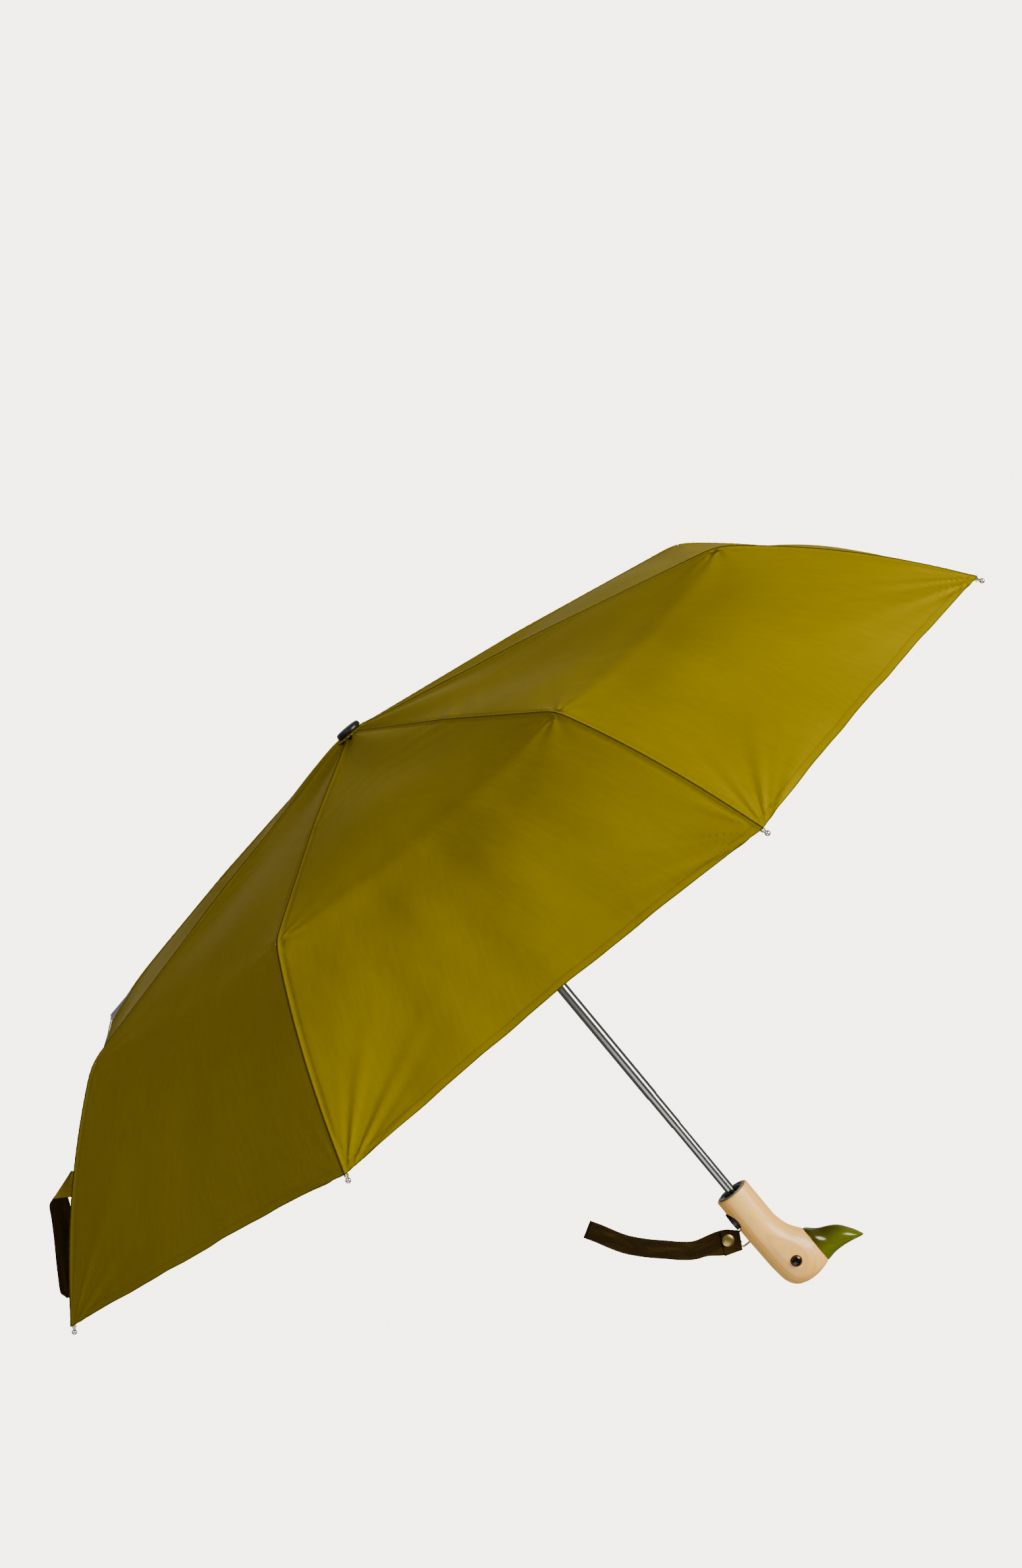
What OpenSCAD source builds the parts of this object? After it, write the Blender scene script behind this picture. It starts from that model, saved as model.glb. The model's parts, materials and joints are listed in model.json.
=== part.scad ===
// Eight-rib folding umbrella with a bird-head handle, drawn open.
// +Z runs up the shaft to the cap, +X is the side the beak points to.
// The origin is the middle of the hand grip, on the shaft's axis.

/* [Handle] */
// Radius of the round wooden grip
grip_r = 15; // [13:0.5:17]
// Height of the grip's top rim above the origin
grip_top = 22; // [20:1:26]
// Depth of the grip's round part below the origin
grip_low = 20; // [16:1:24]
// Radius of the bird's head
head_r = 17; // [15:0.5:18]
// Distance from the shaft's axis to the joint between head and beak
beak_root = 25; // [23:0.5:27]
// Distance from the shaft's axis to the tip of the beak
beak_reach = 61.5; // [56:0.5:66]

/* [Shaft] */
// Outer radius of the lowest and thinnest tube
tube_r = 4.15; // [4:0.05:4.5]
// How much each tube is wider in radius than the one inside it
tube_step = 0.35; // [0.3:0.05:0.5]
// Wall thickness of each tube
tube_wall = 0.3; // [0.25:0.05:0.3]
// Length of the lowest tube that shows above the grip
show_low = 72; // [60:1:90]
// Length of the second tube that shows
show_second = 31; // [25:1:45]
// Height of the lower end of the top tube
top_tube_end = 305; // [300:1:315]

/* [Canopy frame] */
// Number of ribs
ribs = 8; // [8:1:8]
// Height of the rib hinges in the notch
notch_z = 503; // [495:1:510]
// Distance of the rib hinges from the shaft's axis
hinge_r = 10.5; // [10:0.25:11.5]
// Length of an inner rib, between its hinges
inner_len = 160; // [155:1:165]
// Length of a middle rib, between its hinges
middle_len = 168; // [160:1:172]
// Length of an outer rib, with its tip
outer_len = 203; // [195:1:206]
// Distance along an inner rib to the stretcher's hinge
stretch_at = 75; // [70:1:80]
// Length of a stretcher, between its hinges
stretch_len = 90; // [88:1:94]
// Slope of an open inner rib below level, in degrees
inner_slope = 9.3; // [8:0.1:11]
// Slope of an open middle rib below level, in degrees
middle_slope = 10.7; // [9:0.1:13]
// Slope of an open outer rib below level, in degrees
outer_slope = 44; // [40:0.5:48]
// How far the tight fabric bows an open outer rib, at its middle
rib_bow = 7; // [4:0.5:9]

/* [Canopy] */
// Thickness of the fabric shell
cloth = 0.6; // [0.4:0.1:0.8]
// How far the hem curves in, midway between two tips
hem_dip = 3; // [0:1:14]
// How far the fabric reaches short of the rib tips
tip_out = 7; // [7:1:14]

/* [Hidden] */
$fn = 48;
pitch = 360 / ribs;
first_rib = 22.5;

// Shaft: the tubes' radii and ends
second_r = tube_r + tube_step;
third_r = second_r + tube_step;
top_r = third_r + tube_step;
low_end = -40;
step_low = grip_top + show_low;
step_second = step_low + show_second;
lap = 12;
tube_top = notch_z + 7;
washer_t = 0.7;
washer_r = 15;
washer_notch_r = 13.7;
washer_teeth = 24;
cap_r = 11;
crown_t = 5.2;
sleeve_r = 7.4;
sleeve_down = 18;
sleeve_up = 15;
foot_r = 9.4;
foot_t = 5;
runner_r = 12.6;
notch_r = 13;
runner_play = 0.08;
slot_play = 0.8;

// Rib section and hinge eyes
rib_w = 3.2;
rib_h = 3;
rib_skin = 0.5;
eye_r = 1.6;
pin_r = 0.7;
pin_bore = 0.78;
wire_r = 0.6;
wire_bore = 0.78;
tongue_w = 1.4;
fork_gap = 2;
knee_up = 1.9;
knee_down = 2.8;
rod_r = 1.4;
link_w = 4.8;
link_gap = 3.8;
link_h = 2.3;

// The bowed rod of an outer rib: where it starts and ends along the rib, and how far its tip end is lifted
rod_from = 4;
rod_to = outer_len - 10;
tip_lift = 1.5;

// Handle: the tubes' bore, cup, button and eyes
cup_r = 12.5;
cup_depth = 8;
well_r = 8;
well_depth = 6;
button_r = 8.2;
button_z = 2;
button_back = 8.5;
button_edge = 15.4;
button_front = 16.9;
button_gap = 0.08;
scoop_r = 15.2;
scoop_x = -grip_r - 11.6;
scoop_z = 1;
eye_dome_r = 5;
eye_x = 4.9;
eye_z = -53.1;
eye_y = head_r - 2.2;

// Strap ring: its wire, its pin in the grip and its outer bar
ring_wire = 0.9;
ring_play = 0.05;
ring_pin_x = -12.5;
ring_bar_x = -22;
ring_legs = [-20, -8];
ring_slot = 1.1;
ring_slot_r = 4.6;

// Places of the hinges in a rib's own plane, as [distance from the axis, height]
function along(a, d) = [d * cos(a), -d * sin(a)];
function above(a, d) = [d * sin(a), d * cos(a)];
hinge_in = [hinge_r, notch_z];
link_top = hinge_in + along(inner_slope, stretch_at);
runner_z = link_top[1] - sqrt(stretch_len * stretch_len - pow(link_top[0] - hinge_r, 2));
link_angle = atan2(link_top[1] - runner_z, link_top[0] - hinge_r);
knee_one = hinge_in + along(inner_slope, inner_len) + above(inner_slope, knee_up);
knee_two = knee_one + along(middle_slope, middle_len) - above(middle_slope, knee_up + knee_down);

// Fabric: the top of its shell over a rib, from the cap to the hem
cloth_lift = 4.6;
cloth_top = [tube_r + 1.4, notch_z + 6.2];
cloth_knee_one = hinge_in + along(inner_slope, inner_len) + above(inner_slope, cloth_lift);
cloth_knee_two = knee_two + above((middle_slope + outer_slope) / 2, knee_down + cloth_lift - 0.4);
cloth_hem = knee_two + along(outer_slope, outer_len - tip_out)
    + above(outer_slope, knee_down + tip_lift + rod_r + 1.3);
cloth_path = [cloth_top, cloth_knee_one, cloth_knee_two, cloth_hem];
cloth_parts = [4, 4, 6];
gore_parts = 6;

// Wrist strap: its middle line, as [x, z]
strap_path = [[-19, -11], [-26, -7.5], [-42, -1], [-54, 4], [-63, 11], [-72, 20], [-83, 31], [-93, 43],
              [-99, 53], [-105, 65], [-110, 74]];
strap_w = 15;
tab_w = 21;
strap_t = 3.4;
// Closing band: the outline of its flap and of its hanging end, as [x, z], and its place and thickness in y
band_outline = [[-372, 395.4], [-397.8, 389.4], [-403.5, 386.8], [-414, 370], [-434.6, 339.6], [-440.9, 328.4],
                [-437.2, 320.2], [-423.2, 338.7], [-412, 352.3], [-402.9, 363.3], [-393.5, 373.7], [-381.6, 386.6]];
band_y = -139.3;
band_t = 1.4;

// A hinge eye: a short cylinder across a rib, between two distances from its middle
module cross_pin(r, from, to) {
    rotate([90, 0, 0]) translate([0, 0, from]) cylinder(r = r, h = to - from, $fn = 24);
}
module eye_pair(r, from, to) {
    cross_pin(r, from, to);
    cross_pin(r, -to, -from);
}
// A box across the middle plane: from x0 to x1, z0 to z1, w wide
module bar(x0, x1, z0, z1, w) {
    translate([x0, -w / 2, z0]) cube([x1 - x0, w, z1 - z0]);
}
// Two cheeks, w wide outside and gap apart inside
module cheeks(x0, x1, z0, z1, w, gap) {
    for (s = [-1, 1]) translate([x0, s * (w + gap) / 4 - (w - gap) / 4, z0]) cube([x1 - x0, (w - gap) / 2, z1 - z0]);
}
// A folded steel channel, open underneath
module channel(x0, x1, mid) {
    difference() {
        bar(x0, x1, mid - rib_h / 2, mid + rib_h / 2, rib_w);
        bar(x0 + 3, x1 - 3, mid - rib_h / 2 - 1, mid + rib_h / 2 - rib_skin, rib_w - 2 * rib_skin);
    }
}
// Puts a shape drawn in the XZ plane into rib i's own plane
module rib_plane(i) {
    rotate([0, 0, first_rib + (i - 1) * pitch]) children();
}
module at(place, slope) {
    translate([place[0], 0, place[1]]) rotate([0, slope, 0]) children();
}
module ring(r_out, r_in, z0, z1) {
    difference() {
        translate([0, 0, z0]) cylinder(r = r_out, h = z1 - z0);
        translate([0, 0, z0 - 1]) cylinder(r = r_in, h = z1 - z0 + 2);
    }
}

module handle() {
    color("burlywood") difference() {
        union() {
            translate([0, 0, -grip_low]) cylinder(r = grip_r, h = grip_low + grip_top);
            difference() {
                hull() {
                    translate([0, 0, -grip_low - 0.5]) cylinder(r = grip_r, h = 0.5, $fn = 32);
                    translate([head_r - grip_r + 0.4, 0, -58.5]) sphere(r = head_r, $fn = 32);
                    translate([beak_root - 3, 0, -56.8]) sphere(r = head_r - 0.2, $fn = 32);
                }
                translate([beak_root, -30, -100]) cube([40, 60, 100]);
            }
        }
        translate([0, 0, low_end]) cylinder(r = tube_r, h = 100);
        translate([0, 0, grip_top - cup_depth]) cylinder(r = cup_r, h = 20);
        button_place() translate([0, 0, 4]) cylinder(r = button_r + button_gap, h = 20);
        translate([scoop_x, 20, scoop_z]) rotate([90, 0, 0]) cylinder(r = scoop_r, h = 40);
        for (s = [-1, 1]) eye_place(s) cylinder(r = eye_dome_r, h = 10);
        // A bore for the ring's pin, and two slots that its legs swing in
        translate([ring_pin_x, 0, ring_legs[0]]) cylinder(r = ring_wire + ring_play, h = ring_legs[1] - ring_legs[0]);
        for (z = ring_legs) translate([ring_pin_x, 0, z - ring_slot]) cylinder(r = ring_slot_r, h = 2 * ring_slot);
    }
}
module beak() {
    color("darkolivegreen") difference() {
        hull() {
            translate([beak_root, 0, -56.8]) rotate([0, 90, 0]) cylinder(r = head_r - 0.6, h = 1, $fn = 32);
            translate([44, 0, -62.5]) sphere(r = 9.8, $fn = 32);
            for (s = [-1, 1]) translate([beak_reach - 4, s * 5, -72.4]) sphere(r = 4, $fn = 32);
        }
        translate([beak_root - 20, -30, -100]) cube([20, 60, 100]);
    }
}
// An eye's own frame: +Z runs out of the head on side s
module eye_place(s) {
    translate([eye_x, s * eye_y, eye_z]) rotate([-90 * s, 0, 0]) children();
}
module eyes() {
    color("black") for (s = [-1, 1]) eye_place(s) {
        cylinder(r = eye_dome_r, h = 2.2);
        translate([0, 0, 2.2]) intersection() {
            translate([0, 0, -7.5]) sphere(r = 9);
            cylinder(r = eye_dome_r, h = 4);
        }
    }
}
module tip_cup() {
    color("dimgray") difference() {
        ring(cup_r, tube_r, grip_top - cup_depth, grip_top + 0.6);
        translate([0, 0, grip_top - well_depth]) cylinder(r = well_r, h = 20);
    }
}
// The release button's own frame: +Z runs out of the grip, towards -X
module button_place() {
    translate([0, 0, button_z]) rotate([0, -90, 0]) children();
}
module release_button() {
    color([0.1, 0.1, 0.1]) button_place() {
        translate([0, 0, button_back]) cylinder(r = button_r, h = button_edge - button_back);
        translate([0, 0, button_edge]) cylinder(r1 = button_r, r2 = button_r - 1.5, h = button_front - button_edge);
    }
}
module button_spring() {
    color("silver") button_place() ring(3.2, 2.4, 4.7, button_back);
}
module strap_ring() {
    color("peru") {
        for (z = ring_legs) translate([ring_bar_x, 0, z]) rotate([0, 90, 0])
            cylinder(r = ring_wire, h = ring_pin_x - ring_bar_x, $fn = 24);
        for (x = [ring_bar_x, ring_pin_x]) {
            translate([x, 0, ring_legs[0]]) cylinder(r = ring_wire, h = ring_legs[1] - ring_legs[0], $fn = 24);
            for (z = ring_legs) translate([x, 0, z]) sphere(r = ring_wire, $fn = 24);
        }
    }
}
// Turns and side points of a band drawn as a middle line with a width
function turn(path, i) =
    let (a = path[max(i - 1, 0)], b = path[min(i + 1, len(path) - 1)], d = b - a) [-d[1], d[0]] / norm(d);
function side(path, widths, s) = [for (i = [0:len(path) - 1]) path[i] + s * widths[i] / 2 * turn(path, i)];
function flip(list) = [for (i = [len(list) - 1:-1:0]) list[i]];
module band(path, widths) {
    polygon(concat(side(path, widths, 1), flip(side(path, widths, -1))));
}
module wrist_strap() {
    widths = [for (i = [0:len(strap_path) - 1]) i < 2 ? tab_w : strap_w];
    color("saddlebrown") difference() {
        rotate([90, 0, 0]) translate([0, 0, -strap_t / 2]) linear_extrude(strap_t) band(strap_path, widths);
        translate([-22, 0, -24]) cylinder(r = 1.1, h = 20, $fn = 24);
        translate([-22.8, -5, -30]) cube([8, 10, 9.1]);
        translate([-22.8, -5, -9.1]) cube([8, 10, 20]);
        translate([-21.4, -5, -30]) cube([8, 10, 40]);
    }
}
module strap_snap() {
    color("olive") translate([-27.5, 0, -7]) rotate([90, 0, 0]) {
        translate([0, 0, strap_t / 2]) cylinder(r = 5.25, h = 1.4);
        translate([0, 0, strap_t / 2 + 1.4]) cylinder(r1 = 4.4, r2 = 3, h = 0.9);
        translate([0, 0, -strap_t / 2 - 1.2]) cylinder(r = 4.6, h = 1.2);
    }
}
module tube(r, z0, z1) {
    ring(r, r - tube_wall, z0, z1);
}
module shaft_tube_low() {
    color("silver") tube(tube_r, low_end, step_low + lap);
}
module shaft_tube_second() {
    color("silver") tube(second_r, step_low, step_second + lap);
}
module shaft_tube_third() {
    color("silver") tube(third_r, step_second, top_tube_end + lap);
}
module shaft_tube_top() {
    color("silver") tube(top_r, top_tube_end, tube_top);
}
module drive_spring() {
    color("gray") ring(tube_r - tube_wall - 0.4, tube_r - tube_wall - 1.4, low_end, notch_z - 5);
}
module notch() {
    color([0.1, 0.1, 0.1]) difference() {
        ring(notch_r, top_r, notch_z - crown_t / 2, notch_z + 3);
        for (i = [1:ribs]) rib_plane(i) bar(8, 20, notch_z - 5, notch_z + 5, tongue_w + slot_play);
    }
}
module wire_ring(z) {
    translate([0, 0, z]) rotate_extrude($fn = 64) translate([hinge_r, 0]) circle(r = wire_r, $fn = 24);
}
module notch_wire() {
    color("silver") wire_ring(notch_z);
}
module cap() {
    color([0.08, 0.08, 0.08]) {
        translate([0, 0, notch_z - 3]) cylinder(r = top_r - tube_wall, h = tube_top - notch_z + 3);
        translate([0, 0, tube_top]) rotate_extrude()
            polygon([[0, 0], [cap_r, 0], [cap_r, 2.6], [cap_r - 0.8, 3.8], [cap_r - 3, 4.6], [0, 5]]);
    }
}
module cap_washer() {
    color("olive") translate([0, 0, cloth_top[1] + 0.1]) difference() {
        linear_extrude(washer_t) polygon([for (i = [0:2 * washer_teeth - 1]) (i % 2 == 0 ? washer_r : washer_notch_r)
            * [cos(180 * i / washer_teeth), sin(180 * i / washer_teeth)]]);
        translate([0, 0, -1]) cylinder(r = top_r, h = 3);
    }
}
module runner() {
    color([0.1, 0.1, 0.1]) difference() {
        union() {
            translate([0, 0, runner_z - sleeve_down]) cylinder(r = sleeve_r, h = sleeve_down + sleeve_up);
            translate([0, 0, runner_z - sleeve_down]) cylinder(r = foot_r, h = foot_t);
            translate([0, 0, runner_z - crown_t / 2]) cylinder(r = runner_r, h = crown_t);
        }
        translate([0, 0, runner_z - 30]) cylinder(r = top_r + runner_play, h = 60);
        for (i = [1:ribs]) rib_plane(i) bar(sleeve_r + 0.1, 20, runner_z - 5, runner_z + 5, link_w + slot_play);
    }
}
module runner_wire() {
    color("silver") wire_ring(runner_z);
}

// The fabric, as rings of points: w goes along a rib from 0 at the cap to 1 at the hem
function mix(a, b, t) = a + (b - a) * t;
rib_line = [for (k = [0:2]) for (j = [0:cloth_parts[k] - 1]) let (t = j / cloth_parts[k])
                mix(cloth_path[k], cloth_path[k + 1], t) + (k == 2 ? 4 * t * (1 - t) : 0) * above(outer_slope, rib_bow),
            cloth_hem];
function cloth_ring(j, drop) = [for (g = [0:ribs - 1]) for (u = [0:gore_parts - 1])
    let (a = first_rib + g * pitch, t = u / gore_parts, p = rib_line[j],
         arch = 4 * t * (1 - t), w = j / (len(rib_line) - 1),
         q = p - arch * pow(w, 6) * hem_dip * along(outer_slope, 1),
         e0 = [cos(a), sin(a)], e1 = [cos(a + pitch), sin(a + pitch)], e = mix(e0, e1, t))
    [q[0] * e[0], q[0] * e[1], q[1] - drop]];
module canopy() {
    n = ribs * gore_parts;
    m = len(rib_line);
    skin = 1.2 * cloth;
    points = concat([for (j = [0:m - 1]) each cloth_ring(j, 0)], [for (j = [0:m - 1]) each cloth_ring(j, skin)]);
    function outer(j, i) = j * n + i % n;
    function inner(j, i) = m * n + j * n + i % n;
    faces = concat(
        [for (j = [0:m - 2]) for (i = [0:n - 1]) each [
            [outer(j, i), outer(j, i + 1), outer(j + 1, i + 1)], [outer(j, i), outer(j + 1, i + 1), outer(j + 1, i)],
            [inner(j, i), inner(j + 1, i + 1), inner(j, i + 1)], [inner(j, i), inner(j + 1, i), inner(j + 1, i + 1)]]],
        [for (i = [0:n - 1]) each [
            [outer(0, i), inner(0, i + 1), outer(0, i + 1)], [outer(0, i), inner(0, i), inner(0, i + 1)],
            [outer(m - 1, i), outer(m - 1, i + 1), inner(m - 1, i + 1)],
            [outer(m - 1, i), inner(m - 1, i + 1), inner(m - 1, i)]]]);
    color("olive") polyhedron(points, faces);
}
module closing_band() {
    color("darkolivegreen") translate([0, band_y, 0]) rotate([90, 0, 0])
        linear_extrude(band_t) polygon(band_outline);
}

module inner_rib(i) {
    color("dimgray") rib_plane(i) at(hinge_in, inner_slope) {
        difference() {
            union() {
                cross_pin(eye_r, -tongue_w / 2, tongue_w / 2);
                bar(0, 8, -1.2, 1.2, tongue_w);
            }
            cross_pin(wire_bore, -3, 3);
        }
        channel(4, inner_len - 2.4, 0);
        translate([stretch_at, 0, 0]) cross_pin(pin_r, -link_w / 2 - 0.3, link_w / 2 + 0.3);
        cheeks(inner_len - 6, inner_len + 1.2, -rib_h / 2, knee_up - 0.3, rib_w, fork_gap);
        translate([inner_len, 0, knee_up]) {
            eye_pair(eye_r, fork_gap / 2, rib_w / 2);
            cross_pin(pin_r, -rib_w / 2 - 0.3, rib_w / 2 + 0.3);
        }
    }
}
module stretcher(i) {
    color("silver") rib_plane(i) at(link_top, 180 - link_angle) {
        difference() {
            union() {
                for (x = [0, stretch_len]) translate([x, 0, 0]) eye_pair(1.8, link_gap / 2, link_w / 2);
                cheeks(0, stretch_len, -1.1, 1.1, link_w, link_gap);
                cheeks(6, stretch_len - 6, -link_h, 1.1, link_w, link_gap);
                bar(6, stretch_len - 6, -link_h, -link_h + rib_skin, link_w);
            }
            cross_pin(pin_bore, -5, 5);
            translate([stretch_len, 0, 0]) cross_pin(1, -5, 5);
        }
    }
}
module middle_rib(i) {
    color("dimgray") rib_plane(i) at(knee_one, middle_slope) {
        difference() {
            union() {
                cross_pin(eye_r, -tongue_w / 2, tongue_w / 2);
                bar(0, 7, -knee_up - rib_h / 2, -0.3, tongue_w);
            }
            cross_pin(pin_bore, -3, 3);
        }
        channel(3, middle_len - 2.4, -knee_up);
        cheeks(middle_len - 6, middle_len + 1.2, -knee_up - knee_down + 0.3, -knee_up + rib_h / 2, rib_w, fork_gap);
        translate([middle_len, 0, -knee_up - knee_down]) {
            eye_pair(eye_r, fork_gap / 2, rib_w / 2);
            cross_pin(pin_r, -rib_w / 2 - 0.3, rib_w / 2 + 0.3);
        }
        // The spring wire that runs under the rib, and its two posts
        translate([10, 0, -knee_up - 2.2]) rotate([0, 90, 0]) cylinder(r = 0.45, h = middle_len - 24, $fn = 16);
        for (x = [10.5, middle_len - 14.5]) bar(x - 0.5, x + 0.5, -knee_up - 2.5, -knee_up + 1.2, rib_w - rib_skin);
    }
}
// A rod that bows up from the X axis between two places on it
module bowed_rod(r, from, to, bow) {
    radius = (pow(to - from, 2) / 4 + bow * bow) / (2 * bow);
    half = asin((to - from) / 2 / radius);
    translate([(from + to) / 2, 0, bow - radius]) rotate([90, 0, 0]) rotate([0, 0, 90 - half])
        rotate_extrude(angle = 2 * half, $fn = 480) translate([radius, 0]) circle(r = r, $fn = 16);
}
module outer_rib(i) {
    lift = atan2(tip_lift, rod_to - rod_from);
    ending = 2 * atan2(2 * rib_bow, rod_to - rod_from) - lift;
    color("silver") rib_plane(i) at(knee_two, outer_slope) {
        difference() {
            union() {
                cross_pin(eye_r, -tongue_w / 2, tongue_w / 2);
                bar(0, 7, 0.3, knee_down + 1.2, tongue_w);
            }
            cross_pin(pin_bore, -3, 3);
        }
        translate([rod_from, 0, knee_down]) rotate([0, -lift, 0]) translate([-rod_from, 0, 0])
            bowed_rod(rod_r, rod_from, rod_to, rib_bow);
        // The tip that the hem is sewn to: a collar, a neck, a bead and a ball
        translate([rod_to, 0, knee_down + tip_lift]) rotate([0, 90 + ending, 0]) {
            translate([0, 0, -3.5]) cylinder(r = 1.6, h = 4.5, $fn = 24);
            cylinder(r = 1.2, h = 8, $fn = 24);
            translate([0, 0, 3]) cylinder(r = 1.8, h = 1.5, $fn = 24);
            translate([0, 0, 8]) sphere(r = 2.1, $fn = 24);
        }
    }
}

handle();
beak();
eyes();
tip_cup();
release_button();
button_spring();
strap_ring();
wrist_strap();
strap_snap();
shaft_tube_low();
shaft_tube_second();
shaft_tube_third();
shaft_tube_top();
drive_spring();
notch();
notch_wire();
cap();
cap_washer();
runner();
runner_wire();
canopy();
closing_band();
for (i = [1:ribs]) {
    inner_rib(i);
    stretcher(i);
    middle_rib(i);
    outer_rib(i);
}
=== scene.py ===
"""Looks of an open three-fold umbrella with a bird-head handle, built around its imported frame."""

from __future__ import annotations

import json
import logging
import math
from collections.abc import Callable, Sequence
from dataclasses import dataclass, field
from enum import Enum
from functools import partial

import bpy
import numpy as np
from mathutils import Matrix, Vector

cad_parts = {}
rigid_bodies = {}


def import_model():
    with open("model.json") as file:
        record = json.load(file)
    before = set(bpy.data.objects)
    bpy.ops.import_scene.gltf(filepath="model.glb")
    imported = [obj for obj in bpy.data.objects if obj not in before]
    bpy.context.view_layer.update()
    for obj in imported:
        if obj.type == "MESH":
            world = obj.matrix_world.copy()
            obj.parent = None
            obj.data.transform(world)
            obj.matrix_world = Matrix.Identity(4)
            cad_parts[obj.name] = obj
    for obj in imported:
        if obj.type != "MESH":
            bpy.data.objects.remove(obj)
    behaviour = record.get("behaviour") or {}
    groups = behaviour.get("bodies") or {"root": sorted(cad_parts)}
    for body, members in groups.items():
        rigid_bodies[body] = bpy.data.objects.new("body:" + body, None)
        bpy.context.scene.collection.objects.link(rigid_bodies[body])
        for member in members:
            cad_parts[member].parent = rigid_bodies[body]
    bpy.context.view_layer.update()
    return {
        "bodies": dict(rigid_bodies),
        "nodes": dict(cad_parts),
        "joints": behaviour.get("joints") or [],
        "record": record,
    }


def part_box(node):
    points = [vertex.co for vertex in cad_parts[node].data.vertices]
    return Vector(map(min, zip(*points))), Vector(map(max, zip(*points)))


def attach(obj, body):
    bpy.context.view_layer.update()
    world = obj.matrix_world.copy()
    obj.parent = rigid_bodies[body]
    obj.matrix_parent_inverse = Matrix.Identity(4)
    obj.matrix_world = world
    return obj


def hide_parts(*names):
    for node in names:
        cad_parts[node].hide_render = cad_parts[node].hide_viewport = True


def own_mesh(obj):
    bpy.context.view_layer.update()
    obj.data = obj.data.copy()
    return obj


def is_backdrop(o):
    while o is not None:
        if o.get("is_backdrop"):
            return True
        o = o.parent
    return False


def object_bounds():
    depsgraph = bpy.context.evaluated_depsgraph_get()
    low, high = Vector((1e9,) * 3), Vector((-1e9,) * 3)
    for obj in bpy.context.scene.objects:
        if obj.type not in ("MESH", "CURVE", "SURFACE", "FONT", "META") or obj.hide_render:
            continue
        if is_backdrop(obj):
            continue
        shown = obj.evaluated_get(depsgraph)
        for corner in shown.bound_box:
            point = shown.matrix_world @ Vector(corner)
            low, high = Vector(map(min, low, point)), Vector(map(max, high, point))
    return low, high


LOG = logging.getLogger("umbrella")
MM = 0.001
RIBS = 8
PITCH = math.tau / RIBS
RIB_NUMBERS = range(1, RIBS + 1)

Colour = tuple[float, float, float]
Array = np.ndarray
Node = bpy.types.Object


def smooth_step(low: float, high: float, value: Array) -> Array:
    """Rise from 0 at low to 1 at high, level at both ends."""
    t = np.clip((value - low) / (high - low), 0.0, 1.0)
    return t * t * (3 - 2 * t)


def curve_through(places: Sequence[float], values: Sequence[float], at: Array) -> Array:
    """Read a smooth curve without overshoot that passes through given points.

    Args:
        places: Where the points are, in rising order.
        values: The curve's value at each place.
        at: Where to read it.

    Returns:
        The curve's values, by monotone cubic pieces.
    """
    x, y = np.asarray(places, float), np.asarray(values, float)
    step, rise = np.diff(x), np.diff(y)
    slope = rise / step
    tangent = np.zeros_like(y)
    same_way = slope[1:] * slope[:-1] > 0
    tangent[1:-1][same_way] = 2 / (1 / slope[1:][same_way] + 1 / slope[:-1][same_way])
    tangent[0], tangent[-1] = slope[0], slope[-1]
    k = np.clip(np.searchsorted(x, at, side="right") - 1, 0, len(step) - 1)
    t = np.clip((at - x[k]) / step[k], 0.0, 1.0)
    return (y[k] * (1 + 2 * t) * (1 - t) ** 2 + tangent[k] * step[k] * t * (1 - t) ** 2
            + y[k + 1] * t * t * (3 - 2 * t) - tangent[k + 1] * step[k] * t * t * (1 - t))


def unit(vectors: Array) -> Array:
    """Scale vectors to length one along their last axis."""
    return vectors / np.linalg.norm(vectors, axis=-1, keepdims=True)


def run_of(points: Array) -> Array:
    """Give the distance walked along a line at each of its points."""
    return np.concatenate([[0], np.cumsum(np.linalg.norm(np.diff(points, axis=0), axis=1))])


def read_line(points: Array, run: Array, at: Array) -> Array:
    """Read a line's points at given distances along it."""
    return np.stack([np.interp(at, run, points[:, k]) for k in range(points.shape[1])], -1)


def row_of(length: Array, count: int) -> Array:
    """Turn lengths from 0 to 1 into the numbers of count evenly spaced rows."""
    return np.round(length * (count - 1)).astype(int)


def round_end(count: int) -> Array:
    """Give steps from near 0 to 1 that shorten like a quarter circle's, for a rounded end."""
    return np.sin(np.linspace(0.05, 1, count) * math.pi / 2)


def rib_angle(rib: int) -> float:
    """Give the direction of a numbered rib round the shaft."""
    return PITCH / 2 + (rib - 1) * PITCH


def centre_of(node: str) -> Vector:
    """Give the middle of a CAD node's box, in millimetres."""
    low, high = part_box(node)
    return (low + high) / 2 / MM


# ---------------------------------------------------------------- shader maths


class Signal:
    """A shader socket that takes part in Python expressions, each adding its Math node."""

    def __init__(self, paint: Paint, socket: bpy.types.NodeSocket) -> None:
        """Wrap one output socket of a paint's node tree."""
        self.paint = paint
        self.socket = socket

    def math(self, operation: str, *others: Signal | float) -> Signal:
        """Put this value and others through a Math node."""
        inputs = {i: v for i, v in enumerate((self, *others))}
        return self.paint.node("ShaderNodeMath", {"operation": operation}, inputs)

    def __add__(self, other: Signal | float) -> Signal:
        """Add."""
        return self.math("ADD", other)

    __radd__ = __add__

    def __sub__(self, other: Signal | float) -> Signal:
        """Subtract."""
        return self.math("SUBTRACT", other)

    def __rsub__(self, other: float) -> Signal:
        """Subtract from a number."""
        return self.paint.node("ShaderNodeMath", {"operation": "SUBTRACT"}, {0: other, 1: self})

    def __mul__(self, other: Signal | float) -> Signal:
        """Multiply."""
        return self.math("MULTIPLY", other)

    __rmul__ = __mul__

    def ramp(self, low: float, high: float) -> Signal:
        """Rise smoothly from 0 at low to 1 at high, level at both ends."""
        return self.paint.node("ShaderNodeMapRange", {"interpolation_type": "SMOOTHSTEP"},
                               {"Value": self, "From Min": low, "From Max": high})


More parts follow.
